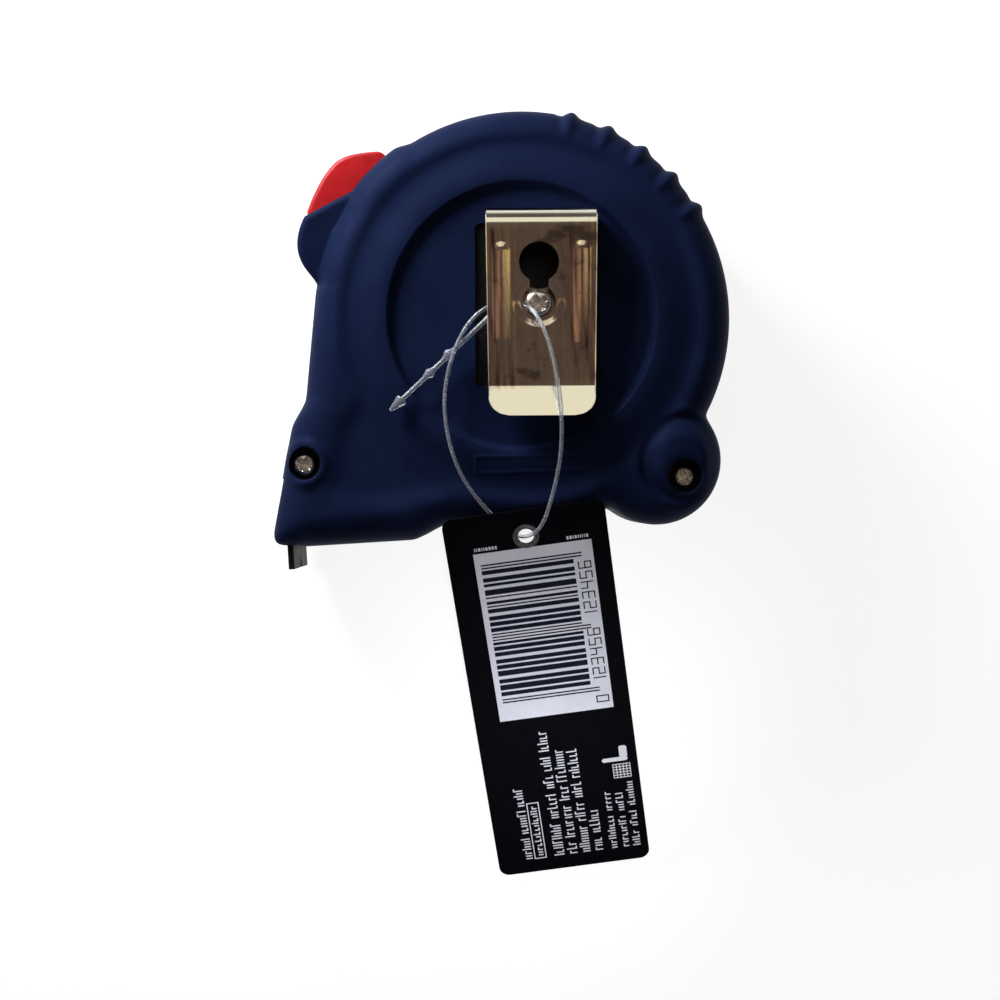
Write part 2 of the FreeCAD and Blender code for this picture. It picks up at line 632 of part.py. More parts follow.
def pad_block(name, low, high):
    """A block beside the blade that lies flat on it when the lock has travelled."""
    block = box(name, (0, "pad_length"), (low, high), ("arm_low", "arm_high"))
    centre = V(size("pad_x"), size("pad_y"), size("arm_low"))
    return turned(block, -size("lock_travel"), centre, V(-size("pad_length") / 2, low, 0))


arm_foot = pad_block("arm_foot", 0.0, size("foot_thick"))
node(fuse("lock_arm", arm_strip, stem, finger, arm_foot), "lock_arm")
node(pad_block("brake_pad", -size("pad_thick"), 0.0), "brake_pad")
detent = ring_sector(size("detent_inner"), size("detent_outer"), size("detent_start"), size("detent_end"))
node(extrude("detent_spring", sketch("detent_profile", detent), "arm_high + 0.8", "shell_high - face_wall"),
     "detent_spring")

# ---------------------------------------------------------------------------------------
# belt clip
# ---------------------------------------------------------------------------------------
def clip_side():
    """The folded strip seen from the side: base plate, bend, leaf and flared lip."""
    thick, low, top = size("clip_thick"), size("shell_high"), size("clip_leaf_high")
    bend = (top - low) / 2
    centre = (size("clip_top") - bend, low + bend)
    crease, crease_high = size("clip_crease"), size("clip_crease_high")
    tail, tail_high = size("clip_tail"), size("clip_lip_high")
    end = size("clip_base_end")
    return [
        line((end, low), (centre[0], low)),
        round_arc(centre, bend, -90, 90),
        line((centre[0], top), (crease, crease_high)), line((crease, crease_high), (tail, tail_high)),
        line((tail, tail_high), (tail, tail_high - thick)),
        line((tail, tail_high - thick), (crease, crease_high - thick)),
        line((crease, crease_high - thick), (centre[0], top - thick)),
        round_arc(centre, bend - thick, -90, 90),
        line((centre[0], low + thick), (end, low + thick)), line((end, low + thick), (end, low)),
    ]


def clip_plan():
    """The strip seen from above, narrower and rounded at the lip."""
    half, end_half, corner = size("clip_width") / 2, size("clip_end_width") / 2, size("clip_corner")
    top, tail = size("clip_top") + 1, size("clip_tail")
    bulge = corner * (1 - math.sqrt(0.5))
    return [
        line((half, top), (-half, top)), line((-half, top), (-end_half, tail + corner)),
        arc((-end_half, tail + corner), (-end_half + bulge, tail + bulge), (-end_half + corner, tail)),
        line((-end_half + corner, tail), (end_half - corner, tail)),
        arc((end_half - corner, tail), (end_half - bulge, tail + bulge), (end_half, tail + corner)),
        line((end_half, tail + corner), (half, top)),
    ]


side = sketch("clip_side_profile", clip_side())
side.setExpression("Placement.Base.z", None)
side.Placement = FreeCAD.Placement(V(-size("clip_width") / 2 - 1, 0, 0), FreeCAD.Rotation(V(1, 1, 1), 120))
clip_fold = add("Part::Extrusion", "clip_fold", Base=side, DirMode="Custom", Dir=V(1, 0, 0), Solid=True)
bind(clip_fold, LengthFwd="clip_width + 2")
clip_limit = extrude("clip_limit", sketch("clip_plan_profile", clip_plan()), "shell_high - 1",
                     "clip_leaf_high + 2")
clip_strip = add("Part::MultiCommon", "clip_strip", Shapes=[clip_fold, clip_limit])
leaf = ("shell_high + 2", "clip_leaf_high + 1")
clip_tools = [
    cylinder("key_large", "key_large", *leaf, "key_x", "key_large_y"),
    cylinder("key_small", "key_small", *leaf, "key_x", "key_small_y"),
    box("key_neck", ("key_x - key_neck", "key_x + key_neck"), ("key_small_y", "key_large_y"), leaf),
    cylinder("clip_hole", "bore_radius + 0.1", "shell_high - 1", "shell_high + 2", "key_x", "key_small_y"),
]
clip = node(cut("belt_clip", clip_strip, *clip_tools), "belt_clip")
bind(clip, x="clip_x", y="clip_y")
clip.Placement.Rotation = FreeCAD.Rotation(UP, size("clip_turn"))


def clip_screw_profile():
    """Half the screw: a flat-topped dome head that sits on the clip's base."""
    floor, head = size("shell_high") + size("clip_thick"), size("clip_screw_radius")
    shank, tip = size("screw_radius"), size("clip_screw_tip")
    rim, flat, top = floor + 0.35 * size("clip_screw_head"), 0.35 * head, floor + size("clip_screw_head")
    return [
        line((0, tip), (shank, tip)), line((shank, tip), (shank, floor)), line((shank, floor), (head, floor)),
        line((head, floor), (head, rim)), arc((head, rim), (0.8 * head, (rim + top) / 2 + 0.2), (flat, top)),
        line((flat, top), (0, top)), line((0, top), (0, tip)),
    ]


clip_screw = new_body("clip_screw")
revolve(clip_screw, body_sketch(clip_screw, "XZ_Plane", clip_screw_profile()))
bind(clip_screw, **SPOOL)

# ---------------------------------------------------------------------------------------
# swing tag on its nylon loop
# ---------------------------------------------------------------------------------------
def tag_outline():
    half, corner = size("tag_width") / 2, size("tag_round")
    top, bottom = size("tag_above_hole"), size("tag_above_hole") - size("tag_length")
    bulge = corner * (1 - math.sqrt(0.5))
    edges = []
    corners = [(half, top, -1, -1), (-half, top, 1, -1), (-half, bottom, 1, 1), (half, bottom, -1, 1)]
    for number, (x, y, inward_x, inward_y) in enumerate(corners):
        beside, below = (x + inward_x * corner, y), (x, y + inward_y * corner)
        start, end = (below, beside) if number % 2 == 0 else (beside, below)
        edges.append(arc(start, (x + inward_x * bulge, y + inward_y * bulge), end))
        following = corners[(number + 1) % 4]
        if number % 2 == 0:
            edges.append(line(end, (following[0] + following[2] * corner, following[1])))
        else:
            edges.append(line(end, (following[0], following[1] + following[3] * corner)))
    return edges


TAG_TURN = FreeCAD.Rotation(V(1, 0, 0), size("tag_slope")).multiply(FreeCAD.Rotation(UP, size("tag_lean")))
TAG_PLACE = {"x": "tag_x", "y": "tag_y", "z": "tag_z"}

tag = new_body("swing_tag")
pad(tag, body_sketch(tag, "XY_Plane", tag_outline() + [circle(size("eyelet_outer"))]), "tag_thick")
eyelet = new_body("tag_eyelet")
pad(eyelet, body_sketch(eyelet, "XY_Plane", [circle(size("eyelet_outer")), circle(size("eyelet_inner"))]),
    "tag_thick")
for piece in (tag, eyelet):
    piece.Placement.Rotation = TAG_TURN
    bind(piece, **TAG_PLACE)

LOOP_ROUTE = [
    (-1.6, 2.7, 39.9), (0.6, 2.3, 40.5), (2.4, 0.4, 43.2), (4.6, -4.6, 45.0), (6.0, -11.6, 45.4),
    (6.6, -19.6, 45.0), (6.2, -27.4, 43.4), (4.8, -33.6, 41.6), (3.2, -38.4, 40.4), (1.7, -42.2, 39.0),
    (-0.5, -44.4, 36.9), (-3.2, -44.8, 34.1), (-6.2, -42.7, 34.2), (-8.7, -39.7, 36.6), (-11.8, -35.8, 38.9),
    (-14.8, -30.4, 40.3), (-16.6, -23.2, 40.9), (-16.8, -15.4, 41.0), (-15.0, -8.2, 40.8),
    (-12.0, -2.2, 40.5), (-8.6, 1.4, 40.2), (-6.2, 2.3, 40.0),
]


def tube(route, diameter):
    """A round bar along straight runs joined by tangent arcs; returns it, its length and radii."""
    points = [V(*place) for place in route]
    edges, radii, start = [], [], points[0]
    for before, corner, after in zip(points, points[1:], points[2:]):
        back, ahead = (before - corner), (after - corner)
        shorter = min(back.Length, ahead.Length)
        turn = math.pi - back.getAngle(ahead)
        reach, radius = 0.45 * shorter, 0.45 * shorter / math.tan(turn / 2)
        back.normalize()
        ahead.normalize()
        enter, leave = corner + back * reach, corner + ahead * reach
        inward = (back + ahead).normalize()
        middle = corner + inward * (radius / math.cos(turn / 2) - radius)
        edges += [Part.LineSegment(start, enter).toShape(), Part.Arc(enter, middle, leave).toShape()]
        radii.append(round(radius, 1))
        start = leave
    edges.append(Part.LineSegment(start, points[-1]).toShape())
    path = Part.Wire(edges)
    ring = Part.Circle(points[0], points[1] - points[0], diameter / 2).toShape()
    return path.makePipeShell([Part.Wire([ring])], True, False), path.Length, radii


loop = add("Part::Feature", "tag_loop")
loop.Shape, loop_length, loop_radii = tube(LOOP_ROUTE, size("loop_diameter"))
node(loop, "tag_loop")
section = math.pi * size("loop_diameter")**2 / 4
print("tag_loop length", round(loop_length, 1), "radii", loop_radii)
print("tag_loop volume over section times length", round(loop.Shape.Volume / (section * loop_length), 4))

# the socket sits under the clip; the tail leaves it, and carries two beads and an arrowhead
socket_centre = V(size("socket_x"), size("socket_y"), size("socket_z"))
socket_half = V(size("socket_length"), size("socket_width"), size("socket_height")) * 0.5
socket = box("loop_socket", (0, "socket_length"), (0, "socket_width"), (0, "socket_height"))
node(turned(socket, size("socket_turn"), socket_centre, -socket_half), "loop_socket")
tail_line = FreeCAD.Rotation(UP, size("socket_turn")).multVec(V(-1, 0, 0))
tail_start = socket_centre + tail_line * (size("socket_length") / 2)


def tail_piece(kind, name, distance, **measures):
    thing = bind(add(kind, name), **measures)
    turn = FreeCAD.Rotation(UP, tail_line)
    thing.Placement = FreeCAD.Placement(tail_start + tail_line * distance, turn)
    return thing


tail_bar = tail_piece("Part::Cylinder", "tail_bar", 0.0, Radius="tail_diameter / 2", Height="tail_length")
beads = [tail_piece("Part::Sphere", "tail_bead_large", size("bead_large_at"), Radius="bead_large"),
         tail_piece("Part::Sphere", "tail_bead_small", size("bead_small_at"), Radius="bead_small")]
arrow = tail_piece("Part::Cone", "tail_arrow", size("arrow_at"), Radius1="arrow_wide", Radius2="arrow_tip",
                   Height="arrow_length")
node(fuse("loop_tail", tail_bar, arrow, *beads), "loop_tail")

# ---------------------------------------------------------------------------------------
# check and write
# ---------------------------------------------------------------------------------------
doc.recompute()
for thing in doc.Objects:
    if {"Invalid", "Error"} & set(thing.State):
        raise SystemExit(f"{thing.Name} failed: {thing.State}")
os.makedirs("parts", exist_ok=True)
for thing in nodes:
    if thing.Shape.isNull() or not thing.Shape.isValid():
        raise SystemExit(f"{thing.Label} has no valid shape")
for thing in nodes:
    thing.Shape.exportStep(os.path.join("parts", f"{thing.Label}.step"))
print(len(nodes), "sub-parts written; coil radius", round(coil_radius, 3))
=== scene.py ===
"""Looks of the tape measure: soft rubber covers, thumb lock, belt clip, screws, swing tag and nylon loop.

Shapes are worked out in millimetres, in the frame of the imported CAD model, and piece() turns them into
metres. Places that the frame gives are read from it with cad(). The numbers below are the sizes that it
doesn't give.
"""

import math
import random

import bpy
import numpy as np
from mathutils import Matrix, Vector


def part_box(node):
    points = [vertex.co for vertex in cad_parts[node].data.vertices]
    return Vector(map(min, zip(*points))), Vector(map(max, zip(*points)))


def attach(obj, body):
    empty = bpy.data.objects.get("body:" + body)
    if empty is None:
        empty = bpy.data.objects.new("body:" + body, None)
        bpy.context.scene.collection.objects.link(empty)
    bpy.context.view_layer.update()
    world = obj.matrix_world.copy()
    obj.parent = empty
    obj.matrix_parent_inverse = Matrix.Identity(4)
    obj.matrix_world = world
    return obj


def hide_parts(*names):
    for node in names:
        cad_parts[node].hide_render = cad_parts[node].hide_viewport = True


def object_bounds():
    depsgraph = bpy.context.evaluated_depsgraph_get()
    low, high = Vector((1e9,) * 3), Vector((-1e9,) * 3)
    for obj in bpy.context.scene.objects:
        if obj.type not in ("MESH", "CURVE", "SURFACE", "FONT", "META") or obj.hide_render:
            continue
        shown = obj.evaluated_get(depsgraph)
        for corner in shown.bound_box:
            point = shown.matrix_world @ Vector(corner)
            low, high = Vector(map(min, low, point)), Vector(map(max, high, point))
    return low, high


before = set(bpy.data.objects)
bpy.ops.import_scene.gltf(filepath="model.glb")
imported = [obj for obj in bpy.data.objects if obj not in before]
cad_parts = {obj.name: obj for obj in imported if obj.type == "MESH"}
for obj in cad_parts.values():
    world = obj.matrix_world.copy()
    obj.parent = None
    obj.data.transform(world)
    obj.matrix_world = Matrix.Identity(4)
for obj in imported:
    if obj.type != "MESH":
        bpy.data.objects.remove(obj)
cad_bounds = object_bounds()

MM = 0.001


def cad(node):
    """Lowest and highest corner of a CAD node, in millimetres."""
    return [np.array(corner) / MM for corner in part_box(node)]


# ---- sizes ----
CASE_RADIUS = 42.7
BOSS_CENTRE, BOSS_RADIUS = np.array([25.8, -30.6]), 13.35
FLANK, NOSE_ROOT, NOSE_TIP = (-41.9, 8.6), (-45.4, -14.3), (-48.5, -19.0)
TOE, BASE_END, ARCH, ARCH_END = (-54.6, -44.0), (-24.5, -44.0), (-18.5, -41.2), (-8.9, -41.8)
TOE_ROUND = 3.0
EDGE_ROUND, COVER_WALL = 6.5, 1.6
DISC_RADIUS, RING_INNER, RING_OUTER = 26.2, 27.6, 34.9
DISC_DROP, SHOULDER_DROP, VALLEY_DROP = 1.7, 0.95, 1.4
CASE_HIGH = cad("rear_cover")[1][2]
SPLIT = cad("rear_cover")[0][2]
SHELL_HIGH = cad("rear_shell")[1][2]
WING_LOW, WING_HIGH, WING_ROUND = 30.0, 34.7, 1.5
RIB_ANGLES = [28.6 + 11.0 * number for number in range(5)]
FOOT_SCREW, BOSS_SCREW = np.array([-46.1, -27.1]), np.array([31.1, -34.4])
HEAD_RADIUS, HEAD_HEIGHT, SINK_RADIUS, SHANK_RADIUS = 2.45, 1.9, 3.2, 1.4
SINK_FLOOR = cad("case_screws")[1][2] - HEAD_HEIGHT
DOME_CENTRE = np.array([31.2, -30.8])
LOCK_LOW, LOCK_HIGH = cad("thumb_lock")[0][2], cad("thumb_lock")[1][2]
MOUTH_X, MOUTH_ROOF, MOUTH_LEVELS = -48.1, -29.8, (5.0, 33.5)
CLIP_CENTRE, CLIP_TURN = np.array([3.9, 0.2]), math.radians(-3.2)
CLIP_THICK = 0.9
BLADE_CENTRE, BLADE_WIDTH = 19.25, 25.0
TAG_HOLE, TAG_SLOPE, TAG_LEAN = np.array([-1.9, -44.4, 35.1]), math.radians(24.5), math.radians(4.8)
EYELET_HOLE, EYELET_MIDDLE, EYELET_LIP = 2.1, 2.2, (0.6, 0.42)
TAG_WIDTH, TAG_LENGTH, TAG_ABOVE, TAG_THICK, TAG_ROUND = 33.4, 88.0, 6.0, 0.5, 2.2


# ---- number helpers ----
def rise(low, high, value):
    """0 below low, 1 above high, and a smooth step between them."""
    share = np.clip((value - low) / (high - low), 0, 1)
    return share * share * (3 - 2 * share)


def hump(value, width):
    return np.exp(-((value / width) ** 2))


def round_over(edge, radius):
    """How far a rounded edge drops at a distance in from the edge."""
    inset = radius - np.clip(edge, 0, radius)
    return radius - np.sqrt(np.maximum(radius**2 - inset**2, 0))


def dense(points):
    """A chain of points with more points laid along its straight runs."""
    chain, step = [], 0.4
    for a, b in zip(points[:-1], points[1:]):
        a, b = np.array(a, float), np.array(b, float)
        count = max(2, int(np.linalg.norm(b - a) / step))
        chain += [a + (b - a) * i / count for i in range(count)]
    return np.array(chain + [np.array(points[-1], float)])


def arc_points(centre, radius, start, end, count):
    """Points on an arc; the angles are in degrees."""
    angles = np.radians(np.linspace(start, end, count))
    return [(centre[0] + radius * math.cos(a), centre[1] + radius * math.sin(a)) for a in angles]


def bezier(start, pull, end, count):
    """Points on a bend from start to end, drawn towards the pull point."""
    return [(1 - t) ** 2 * start + 2 * t * (1 - t) * pull + t**2 * end for t in np.linspace(0, 1, count)]


def rounded_box(left, right, low, high, corner, count, inset=0.0):
    """A closed loop of x, y points round a box whose corners are arcs of count points each."""
    loop = []
    for x, y, start in ((right - corner, high - corner, 0), (left + corner, high - corner, 90),
                        (left + corner, low + corner, 180), (right - corner, low + corner, 270)):
        loop += arc_points((x, y), corner - inset, start, start + 90, count)
    return loop


def inside_by(points, loop):
    """Distance of each point to a closed loop: positive inside, negative outside."""
    nearest = np.full(len(points), 1e9)
    inside = np.zeros(len(points), bool)
    for a, b in zip(loop, np.roll(loop, -1, axis=0)):
        run, off = b - a, points - a
        share = np.clip(off @ run / max(run @ run, 1e-12), 0, 1)
        nearest = np.minimum(nearest, np.linalg.norm(off - share[:, None] * run, axis=1))
        crosses = (a[1] > points[:, 1]) != (b[1] > points[:, 1])
        if abs(run[1]) > 1e-12:
            inside ^= crosses & (points[:, 0] < a[0] + (points[:, 1] - a[1]) * run[0] / run[1])
    return np.where(inside, nearest, -nearest)


def radius_by_angle(chain, angles):
    """Distance from the centre to a chain of points, for each angle; zero where the chain doesn't reach."""
    turn = np.unwrap(np.arctan2(chain[:, 1], chain[:, 0]))
    order = np.argsort(turn)
    turn, far = turn[order], np.hypot(*chain.T)[order]
    wrapped = turn[0] + np.mod(angles - turn[0], 2 * np.pi)
    return np.interp(wrapped, turn, far, right=0)


def smooth_ring(values, sigma):
    """Evens out a closed list of values; sigma is in steps of the list."""
    reach = int(4 * sigma)
    weights = hump(np.arange(-reach, reach + 1), sigma * math.sqrt(2))
    return sum(w * np.roll(values, k - reach) for k, w in enumerate(weights)) / weights.sum()


# ---- mesh helpers ----
def link(name, data):
    """An object of the data, put in the scene."""
    thing = bpy.data.objects.new(name, data)
    bpy.context.scene.collection.objects.link(thing)
    return thing


def mesh(name, points, faces):
    """Mesh data from points in millimetres."""
    data = bpy.data.meshes.new(name)
    data.from_pydata((np.asarray(points, float) * MM).tolist(), [], faces)
    return data


def piece(name, points, faces, body, material, crease=35, stands_for=()):
    """A mesh piece from points in millimetres. Edges sharper than the crease angle stay sharp."""
    data = mesh(name, points, faces)
    data.validate()
    return dress(link(name, data), body, material, crease, stands_for)


def dress(thing, body, material, crease=35, stands_for=()):
    """Gives a piece its smooth shading and material, puts it on its body and hides the nodes it replaces."""
    data = thing.data
    if thing.type == "MESH":
        data.polygons.foreach_set("use_smooth", [True] * len(data.polygons))
        data.set_sharp_from_angle(angle=math.radians(crease))
    data.materials.clear()
    data.materials.append(material)
    if body:
        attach(thing, body)
    if stands_for:
        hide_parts(*stands_for)
    return thing


def quads(rows, columns, flip=False):
    """Faces between the rows of a grid of points, with the last column joined to the first."""
    faces = []
    for row in range(rows - 1):
        for column in range(columns):
            after = (column + 1) % columns
            a, b = row * columns + column, row * columns + after
            face = (a, b, b + columns, a + columns)
            faces.append(face[::-1] if flip else face)
    return faces


def solid_of_rings(rings, flip=False):
    """Points and faces of a closed solid from rings of equal length, capped at both ends."""
    rows, columns = len(rings), len(rings[0])
    points = np.concatenate([np.asarray(ring, float) for ring in rings])
    points = np.vstack([points, np.mean(rings[0], axis=0), np.mean(rings[-1], axis=0)])
    first, last, start = len(points) - 2, len(points) - 1, (rows - 1) * columns
    faces = quads(rows, columns, flip=flip)
    for column in range(columns):
        after = (column + 1) % columns
        low, high = (first, after, column), (last, start + column, start + after)
        faces += [low[::-1], high[::-1]] if flip else [low, high]
    return points, faces


def prism(loop, low, high):
    """Points and faces of a straight prism over a loop of x, y points."""
    rings = [[(x, y, z) for x, y in loop] for z in (low, high)]
    return solid_of_rings(rings)


def cutter(points, faces):
    return link("cutter", mesh("cutter", points, faces))


def carve(thing, *cutters):
    """Takes the cutters out of a piece and removes them."""
    for tool in cutters:
        step = thing.modifiers.new("carve", "BOOLEAN")
        step.operation, step.solver, step.object = "DIFFERENCE", "EXACT", tool
        graph = bpy.context.evaluated_depsgraph_get()
        carved = bpy.data.meshes.new_from_object(thing.evaluated_get(graph))
        thing.modifiers.clear()
        old, thing.data = thing.data, carved
        bpy.data.meshes.remove(old)
        bpy.data.objects.remove(tool)


# ---- material helpers ----
def fill_ramp(ramp, stops):
    """Sets the stops of a colour ramp; each is a place with a grey or a colour."""
    while len(ramp.elements) < len(stops):
        ramp.elements.new(0.5)
    for element, (where, value) in zip(ramp.elements, stops):
        element.position = where
        element.color = (value, value, value, 1) if isinstance(value, (int, float)) else (*value, 1)


class Paint:
    """A material under construction: one Principled shader and the nodes that feed it."""

    def __init__(self, name, colour, roughness, metallic=0.0, **sockets):
        self.material = bpy.data.materials.new(name)
        self.material.use_nodes = True
        self.nodes, self.links = self.material.node_tree.nodes, self.material.node_tree.links
        self.shader = self.nodes["Principled BSDF"]
        self.place = self.nodes.new("ShaderNodeTexCoord").outputs["Object"]
        self.set("Base Color", (*colour, 1.0))
        self.set("Roughness", roughness)
        self.set("Metallic", metallic)
        for socket, value in sockets.items():
            self.set(socket.replace("_", " "), value)

    def set(self, socket, value):
        self.shader.inputs[socket].default_value = value

    def node(self, kind, **inputs):
        """A new node whose inputs are set to values or linked to other nodes' outputs."""
        node = self.nodes.new("ShaderNode" + kind)
        for name, value in inputs.items():
            if isinstance(value, bpy.types.NodeSocket):
                self.links.new(value, node.inputs[name])
            else:
                node.inputs[name].default_value = value
        return node

    def stretch(self, scale):
        """Object coordinates scaled by axis, for streaks and grain with a direction."""
        return self.node("Mapping", Scale=scale, Vector=self.place).outputs["Vector"]

    def noise(self, per_mm, detail=4.0, rough=0.55, along=None):
        place = along or self.place
        node = self.node("TexNoise", Scale=per_mm / MM, Detail=detail, Roughness=rough, Vector=place)
        return node.outputs["Fac"]

    def ramp(self, factor, *stops):
        """Colours or greys by a factor; each stop is (place, value)."""
        node = self.node("ValToRGB", Fac=factor)
        fill_ramp(node.color_ramp, stops)
        return node.outputs["Color"]

    def feed(self, socket, output):
        self.links.new(output, self.shader.inputs[socket])

    def colour(self, factor, *stops):
        self.feed("Base Color", self.ramp(factor, *stops))

    def gloss(self, factor, low, high, places=(0.3, 0.7)):
        """Roughness that goes from low to high between two places of the factor."""
        self.feed("Roughness", self.ramp(factor, (places[0], low), (places[1], high)))

    def bump(self, height, depth_mm):
        node = self.node("Bump", Strength=1.0, Distance=depth_mm * MM, Height=height)
        self.feed("Normal", node.outputs["Normal"])

    def math(self, operation, *values):
        node = self.node("Math")
        node.operation = operation
        for socket, value in zip(node.inputs, values):
            if isinstance(value, (int, float)):
                socket.default_value = value
            else:
                self.links.new(value, socket)
        return node.outputs["Value"]

    def mix(self, factor, a, b):
        """Colour a where the factor is 0 and colour b where it is 1."""
        node = self.node("Mix")
        node.data_type = "RGBA"
        live = {socket.name: socket for socket in node.inputs if socket.enabled}
        self.links.new(factor, live["Factor"])
        for name, value in (("A", a), ("B", b)):
            if isinstance(value, tuple):
                live[name].default_value = (*value, 1)
            else:
                self.links.new(value, live[name])
        return next(socket for socket in node.outputs if socket.enabled)

    def along(self, axis):
        return self.node("SeparateXYZ", Vector=self.place).outputs[axis]


def speckled(name, dark, light, roughness, spread, grain_mm, depth_mm, **sockets):
    """A moulded or painted surface: uneven colour, uneven gloss and a fine grain."""
    paint = Paint(name, dark, roughness, **sockets)
    cloud = paint.noise(0.09, 5.0)
    paint.colour(cloud, (0.3, dark), (0.72, light))
    paint.gloss(paint.noise(0.6, 6.0, 0.65), roughness - spread, roughness + spread, (0.25, 0.75))
    paint.bump(paint.noise(1.0 / grain_mm, 3.0), depth_mm)
    return paint.material


# ---- materials ----
def rubber_paint():
    """Soft-touch rubber: matt navy with a fine grain and slightly polished patches where hands rub it."""
    return speckled("soft_touch_rubber", (0.0048, 0.0084, 0.029), (0.0068, 0.0120, 0.040), 0.5, 0.05, 0.22,
                    0.008, Specular_IOR_Level=0.025, Specular_Tint=(0.45, 0.65, 1.0, 1.0))


def clip_paint():
    """Bright nickel over pressed steel: painted reflections as yellow and dark reddish streaks beside the
    beads, fine draw lines in the bump, faint stains and smudges.
    """
    paint = Paint("nickel_plate", (0.62, 0.53, 0.45), 0.16, 1.0)
    across = paint.math("MULTIPLY_ADD", paint.along("X"), 20.0, 0.5)
    down = paint.math("MULTIPLY_ADD", paint.along("Y"), 10.0, 0.5)
    on_leaf = paint.ramp(down, (0.350, 0.0), (0.362, 1.0), (0.665, 1.0), (0.680, 0.0))
    # Painted reflections: yellow and dark reddish streaks in the colour stand for warm and red lights
    # mirrored beside the beads, and show faintly on the rest of the leaf.
    reflection_beside_beads = paint.ramp(across, (0.43, 1.0), (0.50, 0.3), (0.655, 0.3), (0.72, 1.0))
    plain = paint.ramp(paint.noise(0.35, 5.0, 0.7), (0.28, (0.50, 0.41, 0.34)), (0.46, (0.62, 0.54, 0.47)),
                       (0.75, (0.70, 0.62, 0.55)))
    reflection_streak_noise = paint.noise(1.0, 3.0, 0.6, paint.stretch((0.75, 0.03, 0.5)))
    streaks = paint.ramp(reflection_streak_noise, (0.32, (0.22, 0.12, 0.09)), (0.43, (0.52, 0.40, 0.33)),
                         (0.55, (0.62, 0.53, 0.46)), (0.62, (0.80, 0.66, 0.40)), (0.70, (0.98, 0.84, 0.50)))
    smoke = paint.ramp(paint.noise(0.13, 4.0, 0.6, paint.stretch((1.0, 1.8, 1.0))), (0.34, 0.8), (0.44, 0.0))
    leaf = paint.mix(smoke, paint.mix(reflection_beside_beads, plain, streaks), (0.20, 0.17, 0.15))
    paint.feed("Base Color", paint.mix(on_leaf, (0.74, 0.71, 0.60), leaf))
    paint.gloss(paint.noise(0.11, 4.0, 0.6), 0.07, 0.17)
    paint.bump(paint.noise(1.0, 6.0, 0.7, paint.stretch((9.0, 0.25, 1.0))), 0.006)
    return paint.material


def screw_paint():
    """Nickel-plated screw steel with a fine grain and a little dirt in random patches."""
    paint = Paint("screw_nickel", (0.75, 0.71, 0.67), 0.3, 1.0)
    dirt = paint.noise(1.3, 5.0, 0.65)
    paint.colour(dirt, (0.28, (0.30, 0.23, 0.20)), (0.42, (0.78, 0.74, 0.70)), (0.8, (0.95, 0.93, 0.90)))
    paint.gloss(paint.noise(2.0, 4.0), 0.20, 0.42)
    paint.bump(paint.noise(3.0, 3.0), 0.02)
    return paint.material


def steel_paint(name, dark, light, roughness):
    """Brushed or tempered strip: fine lines along its length, with darker heat patches."""
    paint = Paint(name, light, roughness, 1.0)
    patch = paint.noise(0.2, 5.0, 0.6)
    paint.colour(patch, (0.3, dark), (0.7, light))
    lines = paint.noise(1.0, 5.0, 0.7, paint.stretch((0.3, 6.0, 6.0)))
    paint.gloss(lines, roughness - 0.1, roughness + 0.1)
    paint.bump(lines, 0.01)
    return paint.material


def hook_paint():
    """Blackened steel, rubbed brown here and there."""
    paint = Paint("hook_oxide", (0.016, 0.013, 0.016), 0.5, Specular_IOR_Level=0.08)
    rub = paint.noise(0.35, 6.0, 0.7)
    paint.colour(rub, (0.35, (0.010, 0.008, 0.011)), (0.6, (0.022, 0.016, 0.017)), (0.75, (0.07, 0.05, 0.04)))
    paint.gloss(paint.noise(1.2, 5.0), 0.42, 0.60)
    paint.bump(paint.noise(2.0, 4.0), 0.012)
    return paint.material


def lock_paint():
    """Glossy red moulding with slight flow marks."""
    paint = Paint("red_lock", (0.33, 0.005, 0.006), 0.4, Specular_IOR_Level=0.16)
    flow = paint.noise(0.12, 3.0, 0.5, paint.stretch((1.0, 2.2, 1.0)))
    paint.colour(flow, (0.3, (0.28, 0.003, 0.005)), (0.7, (0.37, 0.006, 0.008)))
    paint.gloss(paint.noise(0.8, 5.0), 0.32, 0.46)
    paint.bump(paint.noise(3.5, 3.0), 0.006)
    return paint.material


def blade_paint():
    """Yellow lacquered blade with a mark each millimetre along both edges, longer every 5 and 10 mm."""
    paint = Paint("blade_lacquer", (0.80, 0.60, 0.03), 0.34, Coat_Weight=0.25, Coat_Roughness=0.2)
    x, z = paint.along("X"), paint.along("Z")

    def marks(pitch_mm, width, reach_mm):
        place = paint.math("FRACT", paint.math("MULTIPLY", x, 1 / (pitch_mm * MM)))
        line = paint.math("LESS_THAN", place, width)
        from_middle = paint.math("ABSOLUTE", paint.math("SUBTRACT", z, BLADE_CENTRE * MM))
        near_edge = paint.math("GREATER_THAN", from_middle, (BLADE_WIDTH / 2 - reach_mm) * MM)
        return paint.math("MULTIPLY", line, near_edge)

    long_marks = paint.math("MAXIMUM", marks(5.0, 0.06, 5.0), marks(10.0, 0.04, 8.5))
    ink = paint.math("MAXIMUM", marks(1.0, 0.2, 3.0), long_marks)
    wear = paint.noise(0.5, 6.0, 0.7)
    lacquer = paint.ramp(wear, (0.3, (0.74, 0.53, 0.02)), (0.7, (0.84, 0.65, 0.05)))
    paint.feed("Base Color", paint.mix(ink, lacquer, (0.012, 0.012, 0.012)))
    paint.gloss(wear, 0.28, 0.42)
    paint.bump(wear, 0.004)
    return paint.material


def card_paint(name, dark, light, roughness):
    """Coated card: faint mottling of the ink and the fibres under the varnish."""
    paint = Paint(name, dark, roughness, Specular_IOR_Level=0.03)
    mottle = paint.noise(0.25, 6.0, 0.7)
    paint.colour(mottle, (0.3, dark), (0.7, light))
    paint.gloss(paint.noise(1.5, 4.0), roughness - 0.07, roughness + 0.07)
    paint.bump(paint.noise(2.0, 5.0, 0.6, paint.stretch((1.0, 0.5, 1.0))), 0.008)
    return paint.material


